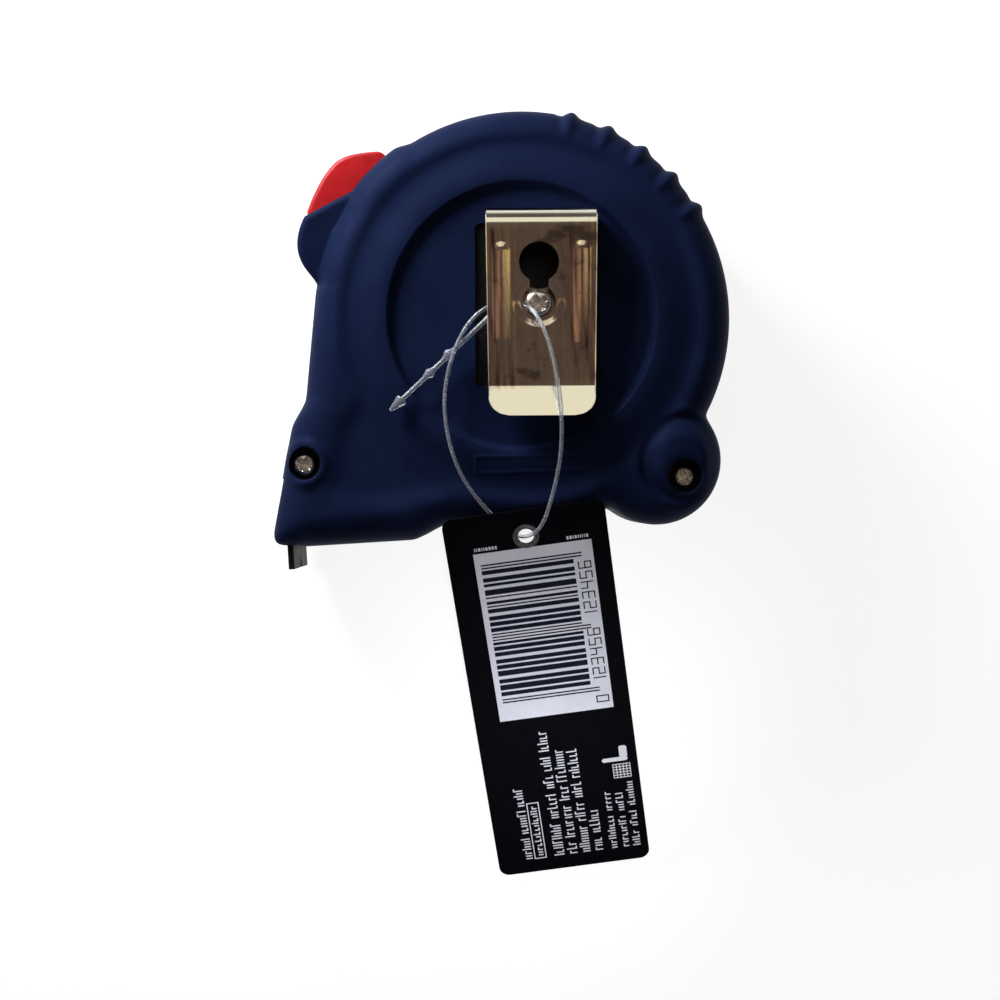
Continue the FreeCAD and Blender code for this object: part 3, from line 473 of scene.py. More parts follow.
def nylon_paint(name, colour, transmission):
    """Clear nylon with slight clouding along its length."""
    paint = Paint(name, colour, 0.22, IOR=1.53, Transmission_Weight=transmission)
    cloud = paint.noise(0.8, 4.0)
    lighter = tuple(min(1.0, 1.18 * c) for c in colour)
    paint.colour(cloud, (0.3, colour), (0.7, lighter))
    paint.gloss(cloud, 0.14, 0.3)
    paint.bump(paint.noise(2.5, 3.0), 0.01)
    return paint.material


rubber = rubber_paint()
nickel = clip_paint()
screw_metal = screw_paint()
red = lock_paint()
blade_yellow = blade_paint()
hook_metal = hook_paint()
spring_metal = steel_paint("tempered_strip", (0.16, 0.15, 0.17), (0.42, 0.43, 0.47), 0.32)
shell_black = speckled("shell_moulding", (0.0014, 0.0014, 0.0018), (0.0032, 0.0032, 0.0040), 0.42, 0.08, 0.5,
                       0.015, Specular_IOR_Level=0.15)
badge_grey = speckled("badge_moulding", (0.018, 0.021, 0.034), (0.034, 0.038, 0.058), 0.36, 0.07, 0.3, 0.02)
reel_white = speckled("reel_moulding", (0.22, 0.22, 0.23), (0.30, 0.30, 0.31), 0.4, 0.06, 0.6, 0.01)
card_black = card_paint("card_black", (0.0009, 0.0009, 0.0026), (0.0018, 0.0018, 0.0046), 0.42)
card_white = card_paint("card_white", (0.72, 0.75, 0.86), (0.78, 0.81, 0.92), 0.42)
card_ink = card_paint("card_ink", (0.008, 0.009, 0.022), (0.014, 0.016, 0.034), 0.42)
card_print = card_paint("card_print", (0.72, 0.75, 0.84), (0.80, 0.83, 0.92), 0.45)
nylon = nylon_paint("clear_nylon", (0.70, 0.75, 0.84), 0.86)
eyelet_clear = nylon_paint("eyelet_clear", (0.11, 0.09, 0.10), 0.35)


# ---- rubber covers ----
STEPS = 720
ANGLES = np.linspace(-np.pi, np.pi, STEPS, endpoint=False)
DIRECTIONS = np.stack([np.cos(ANGLES), np.sin(ANGLES)], axis=1)
DEGREES = np.degrees(ANGLES)


def toe_chain():
    """Flank, nose, rounded toe, base and arch, as one dense chain of points."""
    toe, tip, base = (np.array(p) for p in (TOE, NOSE_TIP, BASE_END))
    front = toe + (tip - toe) * TOE_ROUND / np.linalg.norm(tip - toe)
    under = toe + (base - toe) * TOE_ROUND / np.linalg.norm(base - toe)
    return dense([FLANK, NOSE_ROOT, NOSE_TIP, *bezier(front, toe, under, 9), BASE_END, ARCH, ARCH_END])


def case_radii():
    """Outer radius of the case for each angle, with its inner corners softly filled."""
    off = DIRECTIONS @ BOSS_CENTRE
    across = off**2 - BOSS_CENTRE @ BOSS_CENTRE + BOSS_RADIUS**2
    boss = np.where((across > 0) & (off > 0), off + np.sqrt(np.maximum(across, 0)), 0)
    radii = np.maximum(np.maximum(boss, radius_by_angle(toe_chain(), ANGLES)), CASE_RADIUS)
    bulge = 1.1 * rise(118, 124, DEGREES) * (1 - rise(138, 146, DEGREES))
    return smooth_ring(radii, 1.3) + bulge


def wing_chain():
    """Edge of the guard wing beside the thumb lock, from the button's corner back to the flank."""
    front, belly, low = np.array([-43.2, 23.5]), np.array([-46.6, 17.6]), np.array([-43.7, 12.9])
    return dense([(-33.2, 28.3), *bezier(front, belly, low, 15), (-40.7, 8.6)])


CASE_RADII = case_radii()
WING_RADII = radius_by_angle(wing_chain(), ANGLES)
TOP_RADII = smooth_ring(np.maximum(CASE_RADII, WING_RADII), 0.9)
TOP_RADII = np.maximum(TOP_RADII, CASE_RADII)


def rib_share(points):
    """How much of a grip rib each point carries: a soft ridge with a shallow dip on one side."""
    radius = np.hypot(*points.T)
    angle = np.degrees(np.arctan2(points[:, 1], points[:, 0]))
    share = np.zeros(len(points))
    for place in RIB_ANGLES:
        along = np.radians(angle - place) * radius
        width = 0.7 + 0.7 * rise(37, 42, radius)
        share += hump(along, width) - 0.35 * hump(along - 2.3, 0.8)
    return share


def base_height(points, edge):
    """The covers' common shape: recessed disc, domed ring, valley and rounded shoulder."""
    radius = np.hypot(*points.T)
    drop = DISC_DROP * (1 - rise(DISC_RADIUS - 0.1, RING_INNER, radius))
    drop += VALLEY_DROP * rise(RING_INNER + 0.6, RING_OUTER + 0.4, radius)
    drop -= (VALLEY_DROP - SHOULDER_DROP) * rise(RING_OUTER + 0.2, RING_OUTER + 3.4, radius)
    return CASE_HIGH - drop - round_over(edge, EDGE_ROUND)


def rib_height(points, edge):
    radius = np.hypot(*points.T)
    return 0.55 * rib_share(points) * rise(36.4, 40.5, radius) * (edge > -1)


def wing_height(points):
    """Height of the wing's own surface, far below everything else outside it."""
    loop = np.vstack([wing_chain(), [(-36.0, 5.0), (-27.0, 12.0), (-26.0, 32.0)]])
    depth = inside_by(points, loop)
    dish = 0.16 * np.clip(np.hypot(*points.T) - 49.0, -8, 0)
    return np.where(depth > -0.02, WING_HIGH + dish - round_over(depth + 0.02, WING_ROUND), -50)


def soft_max(a, b):
    """The higher of two surfaces, blended where they meet."""
    blend = 1.6
    share = np.clip(0.5 + 0.5 * (a - b) / blend, 0, 1)
    return b + (a - b) * share + blend * share * (1 - share)


def foot_panel(points):
    """The shallow hollow in the foot, between the ring, the nose and the base."""
    loop = np.array([(-40.4, -19.0), (-42.4, -27.0), (-42.4, -33.5), (-39.6, -36.8), (-34.0, -38.2),
                     (-27.4, -38.0), (-17.0, -36.8), (-14.0, -32.0), (-20.0, -22.0), (-34.0, -12.0)])
    past_ring = rise(RING_OUTER, RING_OUTER + 4.0, np.hypot(*points.T))
    return -0.95 * rise(0.0, 5.0, inside_by(points, loop)) * past_ring


def rear_detail(points, edge):
    """What only the clip side has: heel dome, foot panel, screw collars and the blank name frame."""
    radius = np.hypot(*points.T)
    inner = rise(0.8, 4.5, edge)
    dome = np.linalg.norm(points - DOME_CENTRE, axis=1)
    groove = 0.3 * hump(dome - 10.2, 1.1) - 0.75 * hump(dome - 8.4, 1.0)
    height = inner * (groove + 1.15 * (1 - rise(4.2, 8.0, dome)))
    height *= rise(RING_OUTER - 0.4, RING_OUTER + 3.2, radius)
    sink = np.linalg.norm(points - BOSS_SCREW, axis=1)
    height -= 0.35 * (1 - rise(3.3, 4.9, sink)) * (sink < 6)
    foot = np.linalg.norm(points - FOOT_SCREW, axis=1)
    height += 0.3 * hump(foot - 4.1, 0.7) + 0.35 * (1 - rise(4.2, 6.0, foot))
    frame_loop = np.array([(-11.1, -31.2), (10.4, -31.9), (10.6, -28.8), (-11.1, -27.9)])
    return height + 0.22 * hump(inside_by(points, frame_loop), 0.3)


def cover_rows():
    """Radii of the top's rows: even over the disc and the ring, then closing up towards the rounded edge."""
    even_to = 36.0
    inner = [np.linspace(1.5, 25.5, 26), np.linspace(25.9, 28.2, 11), np.linspace(28.5, even_to, 26)]
    rows = [np.full(STEPS, radius) for radius in np.concatenate(inner)]
    for share in np.linspace(0, 1, 47)[1:]:
        rows.append(TOP_RADII - (TOP_RADII - even_to) * (1 - share) ** 1.6)
    return rows


def cover(name, side, node):
    """One rubber cover as a closed skin: side +1 is the clip side, -1 the front."""
    rows = cover_rows()
    flat = np.concatenate([DIRECTIONS * row[:, None] for row in rows])
    rim = (DIRECTIONS * CASE_RADII[:, None])[::2]
    edge = inside_by(flat, rim)
    height = base_height(flat, edge)
    if side > 0:
        height += foot_panel(flat)
    height = np.concatenate([smooth_ring(row, 3.5) for row in height.reshape(-1, STEPS)])
    height += rib_height(flat, edge)
    if side > 0:
        height += rear_detail(flat, edge)
    height = np.where(edge > 0, height, -50)
    top = soft_max(height, wing_height(flat))
    top = np.where(top > -20, top, CASE_HIGH - SHOULDER_DROP - EDGE_ROUND)
    push = np.maximum(0.9 * rib_share(DIRECTIONS * CASE_RADII[:, None]), -0.15)
    stacked = []
    for index, row in enumerate(rows):
        z = top[index * STEPS:(index + 1) * STEPS]
        out = row + push * rise(37.5, 42.7, row) * (np.abs(TOP_RADII - CASE_RADII) < 0.5)
        stacked.append((out, z))
    last_out, last_z = stacked[-1]
    floor = np.minimum(WING_LOW, last_z - 0.4)
    case_out = CASE_RADII + push
    stacked += [(last_out, (last_z + floor + 0.4) / 2), (last_out - 0.1, floor + 0.25),
                (np.maximum(last_out - 0.45, case_out), floor)]
    for share in (0.02, 0.3, 0.6, 0.93):
        stacked.append((case_out, floor + (SPLIT + 0.35 - floor) * share - 0.05))
    inner = CASE_RADII - COVER_WALL - 0.15
    stacked += [(case_out - 0.35, np.full(STEPS, SPLIT + 0.04)), (inner, np.full(STEPS, SPLIT + 0.04)),
                (inner, np.full(STEPS, WING_LOW - 1)), (inner * 0.82, np.full(STEPS, SHELL_HIGH + 0.02)),
                (inner * 0.3, np.full(STEPS, SHELL_HIGH + 0.02))]
    rings = []
    for out, z in stacked:
        level = z if side > 0 else 2 * SPLIT - z
        rings.append(np.column_stack([DIRECTIONS * out[:, None], level]))
    points, faces = solid_of_rings(rings, flip=side > 0)
    thing = piece(name, points, faces, None, rubber)
    tools = [mouth_cutter(), slot_cutter()]
    if side > 0:
        tools += [sink_cutter(FOOT_SCREW), sink_cutter(BOSS_SCREW), window_cutter()]
    carve(thing, *tools)
    return dress(thing, "case", rubber, 52, [node])


def mouth_cutter():
    low, high = MOUTH_LEVELS
    return cutter(*prism([(-60, -50), (MOUTH_X, -50), (MOUTH_X, MOUTH_ROOF), (-60, MOUTH_ROOF)], low, high))


def slot_cutter():
    """Room for the lock's stem over its whole travel."""
    outer = arc_points((0, 0), 46.0, 135.2, 152.8, 18)
    inner = arc_points((0, 0), 38.5, 152.8, 135.2, 18)
    return cutter(*prism(outer + inner, 13.6, 24.9))


def sink_cutter(place):
    """A screw's counterbore with a softly flared mouth."""
    profile = [(SINK_RADIUS, 26.0), (SINK_RADIUS, 35.0), (SINK_RADIUS + 0.1, 36.2), (SINK_RADIUS + 0.8, 39.5)]
    rings = [[(x, y, z) for x, y in arc_points(place, radius, 0, 352.5, 48)] for radius, z in profile]
    return cutter(*solid_of_rings(rings))


def window_cutter():
    """The shallow pocket in the disc that the clip's base lies in."""
    left, right, low, high, corner = -13.4, 12.0, -14.6, 18.6, 1.2
    return cutter(*prism(clip_loop(rounded_box(left, right, low, high, corner, 7)), SHELL_HIGH - 0.5, 39))


# ---- belt clip ----
def clip_place(point):
    """A point of the clip's own frame, put in the model's."""
    c, s = math.cos(CLIP_TURN), math.sin(CLIP_TURN)
    x, y, z = point
    return np.array([CLIP_CENTRE[0] + c * x - s * y, CLIP_CENTRE[1] + s * x + c * y, z])


def clip_loop(loop):
    """A loop of x, y points of the clip's own frame, put in the model's."""
    return [tuple(clip_place((x, y, 0))[:2]) for x, y in loop]


CLIP_TOP, CLIP_TAIL, CLIP_CREASE, CLIP_BASE_END = 21.2, -20.9, -14.8, -12.0
LEAF_HIGH, CREASE_HIGH, LIP_HIGH = 44.1, 41.2, 43.4
KEY_X, KEY_LARGE_Y, KEY_SMALL_Y, KEY_LARGE, KEY_SMALL, KEY_NECK = -0.52, 9.9, 2.18, 4.0, 3.3, 1.9
BEADS = [(-8.1, -6.6, 13.6), (8.1, -7.4, 13.8)]


def clip_path():
    """Middle of the strip seen from the side, as (y, z, how much leaf it is)."""
    half = CLIP_THICK / 2
    bend = (LEAF_HIGH - SHELL_HIGH) / 2
    middle = SHELL_HIGH + bend
    turn_y = CLIP_TOP - bend
    path = [(y, SHELL_HIGH + half, 0.0) for y in np.linspace(CLIP_BASE_END, turn_y, 16)[:-1]]
    for angle in np.linspace(-90, 90, 33):
        a = math.radians(angle)
        path.append((turn_y + (bend - half) * math.cos(a), middle + (bend - half) * math.sin(a), 0.0))
    leaf_run, leaf_fall = turn_y - CLIP_CREASE, LEAF_HIGH - CREASE_HIGH
    for share in np.linspace(0, 1, 120)[1:-4]:
        path.append((turn_y - leaf_run * share, LEAF_HIGH - half - leaf_fall * share, 1.0))
    lip_run, lip_rise = CLIP_CREASE - CLIP_TAIL, LIP_HIGH - CREASE_HIGH
    for share in np.linspace(-0.03, 0.03, 4):
        soft = (share + 0.03) ** 2 / 0.12
        path.append((CLIP_CREASE - lip_run * share, CREASE_HIGH - half + 0.03 + lip_rise * soft, 0.0))
    for share in np.linspace(0.05, 1, 18):
        path.append((CLIP_CREASE - lip_run * share, CREASE_HIGH - half + 0.03 + lip_rise * share, 0.0))
    return np.array(path)


def press(x, y):
    """How far the leaf is pressed up or down: two long beads and the dish round the keyhole's small end."""
    lift = 0.0
    for bead_x, low, high in BEADS:
        end = max(low + 1.3 - y, y - (high - 1.3), 0.0)
        reach = math.hypot(x - bead_x, end)
        lift += 0.5 * max(0.0, 1 - (reach / 1.75) ** 2) ** 1.3
    dish = math.hypot(x - KEY_X, y - KEY_SMALL_Y)
    lift -= 0.6 * float(1 - rise(3.6, 5.5, dish))
    return lift


def clip_half_width(y, on_leaf):
    wide, narrow, corner = 11.2, 10.7, 4.0
    half = narrow + (wide - narrow) * (y - CLIP_TAIL) / (CLIP_TOP - CLIP_TAIL)
    to_end = y - CLIP_TAIL
    if on_leaf and to_end < corner:
        half -= corner - math.sqrt(max(corner**2 - (corner - to_end) ** 2, 0.0))
    return half


def belt_clip():
    path = clip_path()
    run = np.gradient(path[:, :2], axis=0)
    run /= np.linalg.norm(run, axis=1)[:, None]
    normals = np.column_stack([run[:, 1], -run[:, 0]])
    columns = np.sin(np.linspace(-0.5, 0.5, 89) * np.pi) * 0.35 + np.linspace(-0.65, 0.65, 89)
    half_thick = CLIP_THICK / 2
    rings = []
    for (y, z, leaf), normal in zip(path, normals):
        past_fold = z > (LEAF_HIGH + SHELL_HIGH) / 2
        half = clip_half_width(y, past_fold)
        outer, inner = [], []
        for u in columns:
            x = u * half
            lift = press(x, y) * leaf if leaf else 0.0
            out = half_thick - 0.16 * max(0.0, (abs(u) - 0.985) / 0.015) ** 2
            outer.append((x, y + normal[0] * out, z + normal[1] * out + lift))
            inner.append((x, y - normal[0] * out, z - normal[1] * out + lift * 0.8))
        rings.append([clip_place(p) for p in outer + inner[::-1]])
    points, faces = solid_of_rings(rings)
    thing = piece("clip_leaf", points, faces, None, nickel)
    neck, neck_low = (math.degrees(math.asin(KEY_NECK / radius)) for radius in (KEY_LARGE, KEY_SMALL))
    large = arc_points((KEY_X, KEY_LARGE_Y), KEY_LARGE, -90 + neck, 270 - neck, 40)
    small = arc_points((KEY_X, KEY_SMALL_Y), KEY_SMALL, 90 + neck_low, 450 - neck_low, 36)
    below = arc_points((KEY_X, KEY_LARGE_Y), KEY_LARGE + 0.7, 0, 352, 45)
    carve(thing, cutter(*prism(clip_loop(large + small), SHELL_HIGH + 2.2, LEAF_HIGH + 3)),
          cutter(*prism(clip_loop(below), SHELL_HIGH - 1, SHELL_HIGH + 2)))
    return dress(thing, "case", nickel, 32, ["belt_clip"])


# ---- screws ----
def cross_depth(x, y, arm, width):
    """1 inside a cross recess, 0 outside it, with sloping walls."""
    def bar(a, b):
        across = 1 - rise(width - 0.12, width + 0.14, np.abs(b))
        return (1 - rise(arm - 0.35, arm + 0.1, np.abs(a))) * across

    return np.maximum(bar(x, y), bar(y, x))


def screw(name, place, seat, radius, height, turn, stands_for=()):
    """A pan head with a cross recess, on a shank with thread ridges that runs down from the seat."""
    columns = 72
    angles = np.linspace(0, 2 * np.pi, columns, endpoint=False)
    c, s = math.cos(turn), math.sin(turn)
    rings = []

    def lay(r, level):
        """One more ring of points, at one level or at a level for each point."""
        x, y = r * np.cos(angles) + place[0], r * np.sin(angles) + place[1]
        rings.append(np.column_stack([x, y, np.broadcast_to(level, columns)]))

    for share in np.linspace(0.02, 1, 22):
        r = radius * share
        x, y = r * np.cos(angles), r * np.sin(angles)
        crown = height * (1 - 0.22 * share**2 - 0.50 * share**9)
        recess = cross_depth(c * x + s * y, c * y - s * x, 0.62 * radius, 0.17 * radius)
        lay(r, seat + (crown - 0.62 * height * recess * (1 - 0.45 * share)))
    for r, z in ((radius, 0.12 * height), (radius * 0.96, 0.0), (SHANK_RADIUS, 0.0)):
        lay(r, seat + z)
    for number in range(14):
        lay(SHANK_RADIUS - 0.28 * (number % 2), seat - 0.5 - 0.45 * number)
    points, faces = solid_of_rings(rings, flip=True)
    return piece(name, points, faces, "case", screw_metal, 40, stands_for)


# ---- thumb lock ----
def thumb_lock():
    """The red button: it swells out of the flank, with soft edges and grip ridges across its face."""
    start, end, inner, corner = 126.0, 150.5, 43.35, 1.0
    groove_start, groove_pitch, groove_depth = 134.0, 2.6, 0.6
    rings = []
    for angle in np.linspace(start, end, 110):
        from_end = min(angle - start, end - angle)
        swell = float(rise(start - 5.5, start + 10.5, angle))
        outer = 43.9 + 6.2 * swell + 0.7 * float(hump(angle - 139.0, 6.5))
        outer -= 0.25 * float(rise(end - 5, end, angle))
        taper = 1 - math.sqrt(max(0.0, 1 - (1 - min(from_end / 1.3, 1.0)) ** 2))
        outer -= taper * min(0.9, 0.5 * (outer - inner))
        low, high = LOCK_LOW + 0.9 * taper, LOCK_HIGH - 0.9 * taper
        bend = min(corner, 0.45 * (outer - inner))
        groove = max(0.0, math.cos(2 * math.pi * (angle - groove_start) / groove_pitch)) ** 1.5
        groove *= groove_depth * float(rise(133, 134.5, angle) * (1 - rise(147.6, 149, angle)))
        section = arc_points((outer - bend, high - bend), bend, 90, 0, 8)
        for share in np.linspace(0, 1, 14)[1:-1]:
            z = high - bend + (low - high + 2 * bend) * share
            section.append((outer - groove * math.sin(math.pi * share) ** 0.4, z))
        section += arc_points((outer - bend, low + bend), bend, 0, -90, 8)
        section += [(inner, low), (inner, (LOCK_LOW + LOCK_HIGH) / 2), (inner, high)]
        a = math.radians(angle)
        rings.append([(r * math.cos(a), r * math.sin(a), z) for r, z in section])
    points, faces = solid_of_rings(rings)
    return piece("lock_button", points, faces, "lock", red, 45, ["thumb_lock"])


# ---- swing tag ----
def tag_place(points):
    """Points of the tag's own plane, x across and y up towards the loop, put in the model's frame."""
    turn = Matrix.Rotation(TAG_SLOPE, 3, "X") @ Matrix.Rotation(TAG_LEAN, 3, "Z")
    return [np.array(turn @ Vector(p)) + TAG_HOLE for p in points]


def tag_card():
    """The card, with rounded corners, a softened edge and its punched hole."""
    half, low, soft = TAG_WIDTH / 2, TAG_ABOVE - TAG_LENGTH, 0.08
    rings = []
    for inset, z in ((soft, 0.0), (0.0, soft), (0.0, TAG_THICK - soft), (soft, TAG_THICK)):
        loop = rounded_box(-half, half, low, TAG_ABOVE, TAG_ROUND, 9, inset)
        rings.append(tag_place([(x, y, z) for x, y in loop]))
    points, faces = solid_of_rings(rings)
    thing = piece("tag_card", points, faces, None, card_black)
    hole = arc_points((0, 0), EYELET_HOLE, 0, 354, 60)
    ends = [tag_place([(x, y, z) for x, y in hole]) for z in (-1, TAG_THICK + 1)]
    carve(thing, cutter(*solid_of_rings(ends)))
    return dress(thing, "tag", card_black, 30, ["swing_tag"])


def tag_print(name, shapes, material, level, thick=0.035):
    """Flat printed shapes, each a loop of x, y points, as one thin piece on the card."""
    points, faces = [], []
    for loop in shapes:
        low = [(x, y, TAG_THICK + level) for x, y in loop]
        high = [(x, y, TAG_THICK + level + thick) for x, y in loop]
        start, count = len(points), len(loop)
        points += tag_place(low) + tag_place(high)
        faces.append(tuple(start + i for i in range(count))[::-1])
        faces.append(tuple(start + count + i for i in range(count)))
        for i in range(count):
            j = (i + 1) % count
            faces.append((start + i, start + j, start + count + j, start + count + i))
    return piece(name, points, faces, "tag", material, 30)


def rectangle(x0, y0, x1, y1):
    return [(x0, y0), (x1, y0), (x1, y1), (x0, y1)]


def block(x0, y0, x1, y1, corner=0.35):
    """A rectangle with small cut corners, which stands for a printed word."""
    c = min(corner, 0.4 * (x1 - x0), 0.4 * (y1 - y0))
    return [(x0 + c, y0), (x1 - c, y0), (x1, y0 + c), (x1, y1 - c),
            (x1 - c, y1), (x0 + c, y1), (x0, y1 - c), (x0, y0 + c)]


def label_bars(chance):
    """Bars of made-up widths across the label, with longer guard bars at both ends and the middle."""
    module, left, right, long_right, top, low = 0.345, -10.1, 8.9, 10.7, -5.1, -38.1
    bars, y, number = [], top, 0
    while y > low:
        guard = number < 2 or 14 <= number <= 15 or y - 2 * module < low + 1.4
        thick = module * (1 if guard else chance.choice((1, 2, 2, 3, 3, 4)))
        gap = module * (1 if guard else chance.choice((1, 1, 2, 2)))
        bars.append(rectangle(left, y - thick * 0.93, long_right if guard else right, y))
        y -= thick + gap
        number += 1
    return bars


SEGMENTS = {"0": "abcdef", "1": "bc", "2": "abdeg", "3": "abcdg", "4": "bcfg", "5": "acdfg", "6": "acdefg"}


def digit(character, x, y, high, wide):
    """A plain numeral from strokes, turned so that it reads from the tag's right edge."""
    pen = 0.27
    strokes = {"a": ((0, 1), (1, 1)), "b": ((1, 1), (1, .5)), "c": ((1, .5), (1, 0)), "d": ((0, 0), (1, 0)),
               "e": ((0, 0), (0, .5)), "f": ((0, .5), (0, 1)), "g": ((0, .5), (1, .5))}
    shapes = []
    for key in SEGMENTS[character]:
        (u0, v0), (u1, v1) = strokes[key]
        x0, x1 = sorted((x - v0 * high, x - v1 * high))
        y0, y1 = sorted((y + u0 * wide, y + u1 * wide))
        shapes.append(block(x0 - pen / 2, y0 - pen / 2, x1 + pen / 2, y1 + pen / 2, 0.1))
    return shapes


def label_digits():
    """One numeral and two groups of six, beside the bars."""
    base, high, wide, pitch = 12.3, 2.5, 1.45, 2.35
    shapes = digit("0", base, -40.9, high, wide)
    for start in (-36.4, -20.6):
        for number, character in enumerate("123456"):
            shapes += digit(character, base, start + pitch * number, high, wide)
    return shapes


def text_lines(chance):
    """Blank word blocks for the information text: each line runs up the tag."""
    foot = -78.4
    lines = [(-9.0, 2.0, -57.4), (-1.9, 2.3, -44.7), (1.0, 2.3, -51.2), (3.9, 2.3, -51.2), (6.7, 2.3, -65.2),
             (9.9, 1.7, -63.1), (12.5, 1.7, -62.4), (15.0, 1.7, -61.4)]
    shapes = []
    for right, high, top in lines:
        y = foot
        while y < top - 2:
            word = min(chance.uniform(3.2, 9.5), top - y)
            shapes += letter_blocks(chance, right - high, right, y, y + word)
            y += word + 1.0
    return shapes


def letter_blocks(chance, x0, x1, y0, y1):
    """One word as short upright strokes, which reads as lettering without any letters."""
    shapes, y = [], y0
    while y < y1 - 0.4:
        tall = x0 if chance.random() < 0.3 else x0 + 0.28 * (x1 - x0)
        wide = chance.choice((0.28, 0.3, 0.75))
        if wide > 0.5:
            side = chance.random() < 0.5
            edge = (tall, tall + 0.3) if side else (x1 - 0.3, x1)
            shapes.append(block(edge[0], y, edge[1], y + wide, 0.08))
            shapes.append(block(tall, y, x1, y + 0.28, 0.08))
        else:
            shapes.append(block(tall, y, x1, y + wide, 0.08))
        y += wide + 0.38
    return shapes


def frame_box(x0, y0, x1, y1, pen):
    return [rectangle(x0, y0, x0 + pen, y1), rectangle(x1 - pen, y0, x1, y1),
            rectangle(x0 + pen, y0, x1 - pen, y0 + pen), rectangle(x0 + pen, y1 - pen, x1 - pen, y1)]


def basket():
    """A small plain basket drawn with lines, in place of the printed symbol."""
    left, right, low, high, pen = 11.1, 15.0, -60.4, -57.0, 0.09
    shares = np.linspace(0, 1, 6)
    shapes = [rectangle(x - pen, low, x + pen, high) for x in 11.2 + 3.7 * shares]
    shapes += [rectangle(left, y - pen, right, y + pen) for y in low + 3.4 * shares]
    return shapes + [block(9.0, -56.2, 14.6, -55.2), block(12.9, -55.4, 14.6, -52.4)]


def swing_tag():
    """The card and everything printed on it; one run of random draws sets the bars and the words."""
    chance = random.Random(11)
    tag_card()
    tag_print("tag_label", [rectangle(-11.3, -42.6, 13.1, -2.5)], card_white, 0.0)
    tag_print("tag_bars", label_bars(chance), card_ink, 0.035, 0.02)
    tag_print("tag_digits", label_digits(), card_ink, 0.035, 0.02)
    tag_print("tag_lines", text_lines(chance) + basket() + frame_box(-8.6, -78.6, -5.9, -63.9, 0.22)
              + letter_blocks(chance, -8.0, -6.5, -77.8, -64.8), card_print, 0.0, 0.03)
    tag_print("tag_small_print", small_print(chance), card_print, 0.0, 0.03)


def small_print(chance):
    """Two rows of small strokes above the label."""
    shapes = []
    for start, end in ((-10.9, -6.3), (8.1, 12.4)):
        x = start
        while x < end:
            wide = chance.choice((0.2, 0.42))
            shapes.append(block(x, -1.95, x + wide, -1.2, 0.06))
            x += wide + 0.22
    return shapes


def eyelet():
    """The soft ring that lines the tag's hole, with a rolled lip on both faces."""
    rings = []
    for angle in np.linspace(0, 2 * np.pi, 48, endpoint=False):
        section = []
        for step in np.linspace(0, 2 * np.pi, 20, endpoint=False):
            r = EYELET_MIDDLE + EYELET_LIP[0] * math.cos(step)
            z = TAG_THICK / 2 + EYELET_LIP[1] * math.sin(step)
            section.append((r * math.cos(angle), r * math.sin(angle), z))
        rings.append(tag_place(section))
    points = np.concatenate(rings)
    around = quads(len(rings) + 1, len(rings[0]), flip=True)
    faces = [tuple(corner % len(points) for corner in face) for face in around]
    return piece("tag_eyelet_ring", points, faces, "tag", eyelet_clear, 60, ["tag_eyelet"])


# ---- nylon loop ----
LOOP_ROUTE = [
    (-1.6, 2.7, 39.9), (0.6, 2.3, 40.5), (2.4, 0.4, 43.2), (4.6, -4.6, 45.0), (6.0, -11.6, 45.4),
    (6.6, -19.6, 45.0), (6.2, -27.4, 43.4), (4.8, -33.6, 41.6), (3.2, -38.4, 40.4), (1.7, -42.2, 39.0),
    (-0.5, -44.4, 36.9), (-3.2, -44.8, 34.1), (-6.2, -42.7, 34.2), (-8.7, -39.7, 36.6), (-11.8, -35.8, 38.9),
    (-14.8, -30.4, 40.3), (-16.6, -23.2, 40.9), (-16.8, -15.4, 41.0), (-15.0, -8.2, 40.8),
    (-12.0, -2.2, 40.5), (-8.6, 1.4, 40.2), (-6.2, 2.3, 40.0),
]
LOOP_LENGTH, LOOP_DIAMETER = 114.7, 0.8
SOCKET_CENTRE, SOCKET_TURN = np.array([-3.9, 2.4, 39.9]), math.radians(40)
SOCKET_SIZE = (4.6, 3.4, 2.6)
SOCKET_ALONG = np.array([math.cos(SOCKET_TURN), math.sin(SOCKET_TURN), 0.0])
SOCKET_ACROSS = np.array([-SOCKET_ALONG[1], SOCKET_ALONG[0], 0.0])
UP = np.array([0.0, 0.0, 1.0])


def loop_curve():
    data = bpy.data.curves.new("loop_thread", "CURVE")
    data.dimensions = "3D"
    spline = data.splines.new("NURBS")
    spline.points.add(len(LOOP_ROUTE) - 1)
    for point, place in zip(spline.points, LOOP_ROUTE):
        point.co = (*(c * MM for c in place), 1)
    spline.order_u = 3
    spline.use_endpoint_u = True
    spline.resolution_u = 12
    data.bevel_depth = LOOP_DIAMETER / 2 * MM
    data.bevel_resolution = 4
    data.use_fill_caps = True
    return dress(link("loop_thread", data), "case", nylon, stands_for=["tag_loop"])


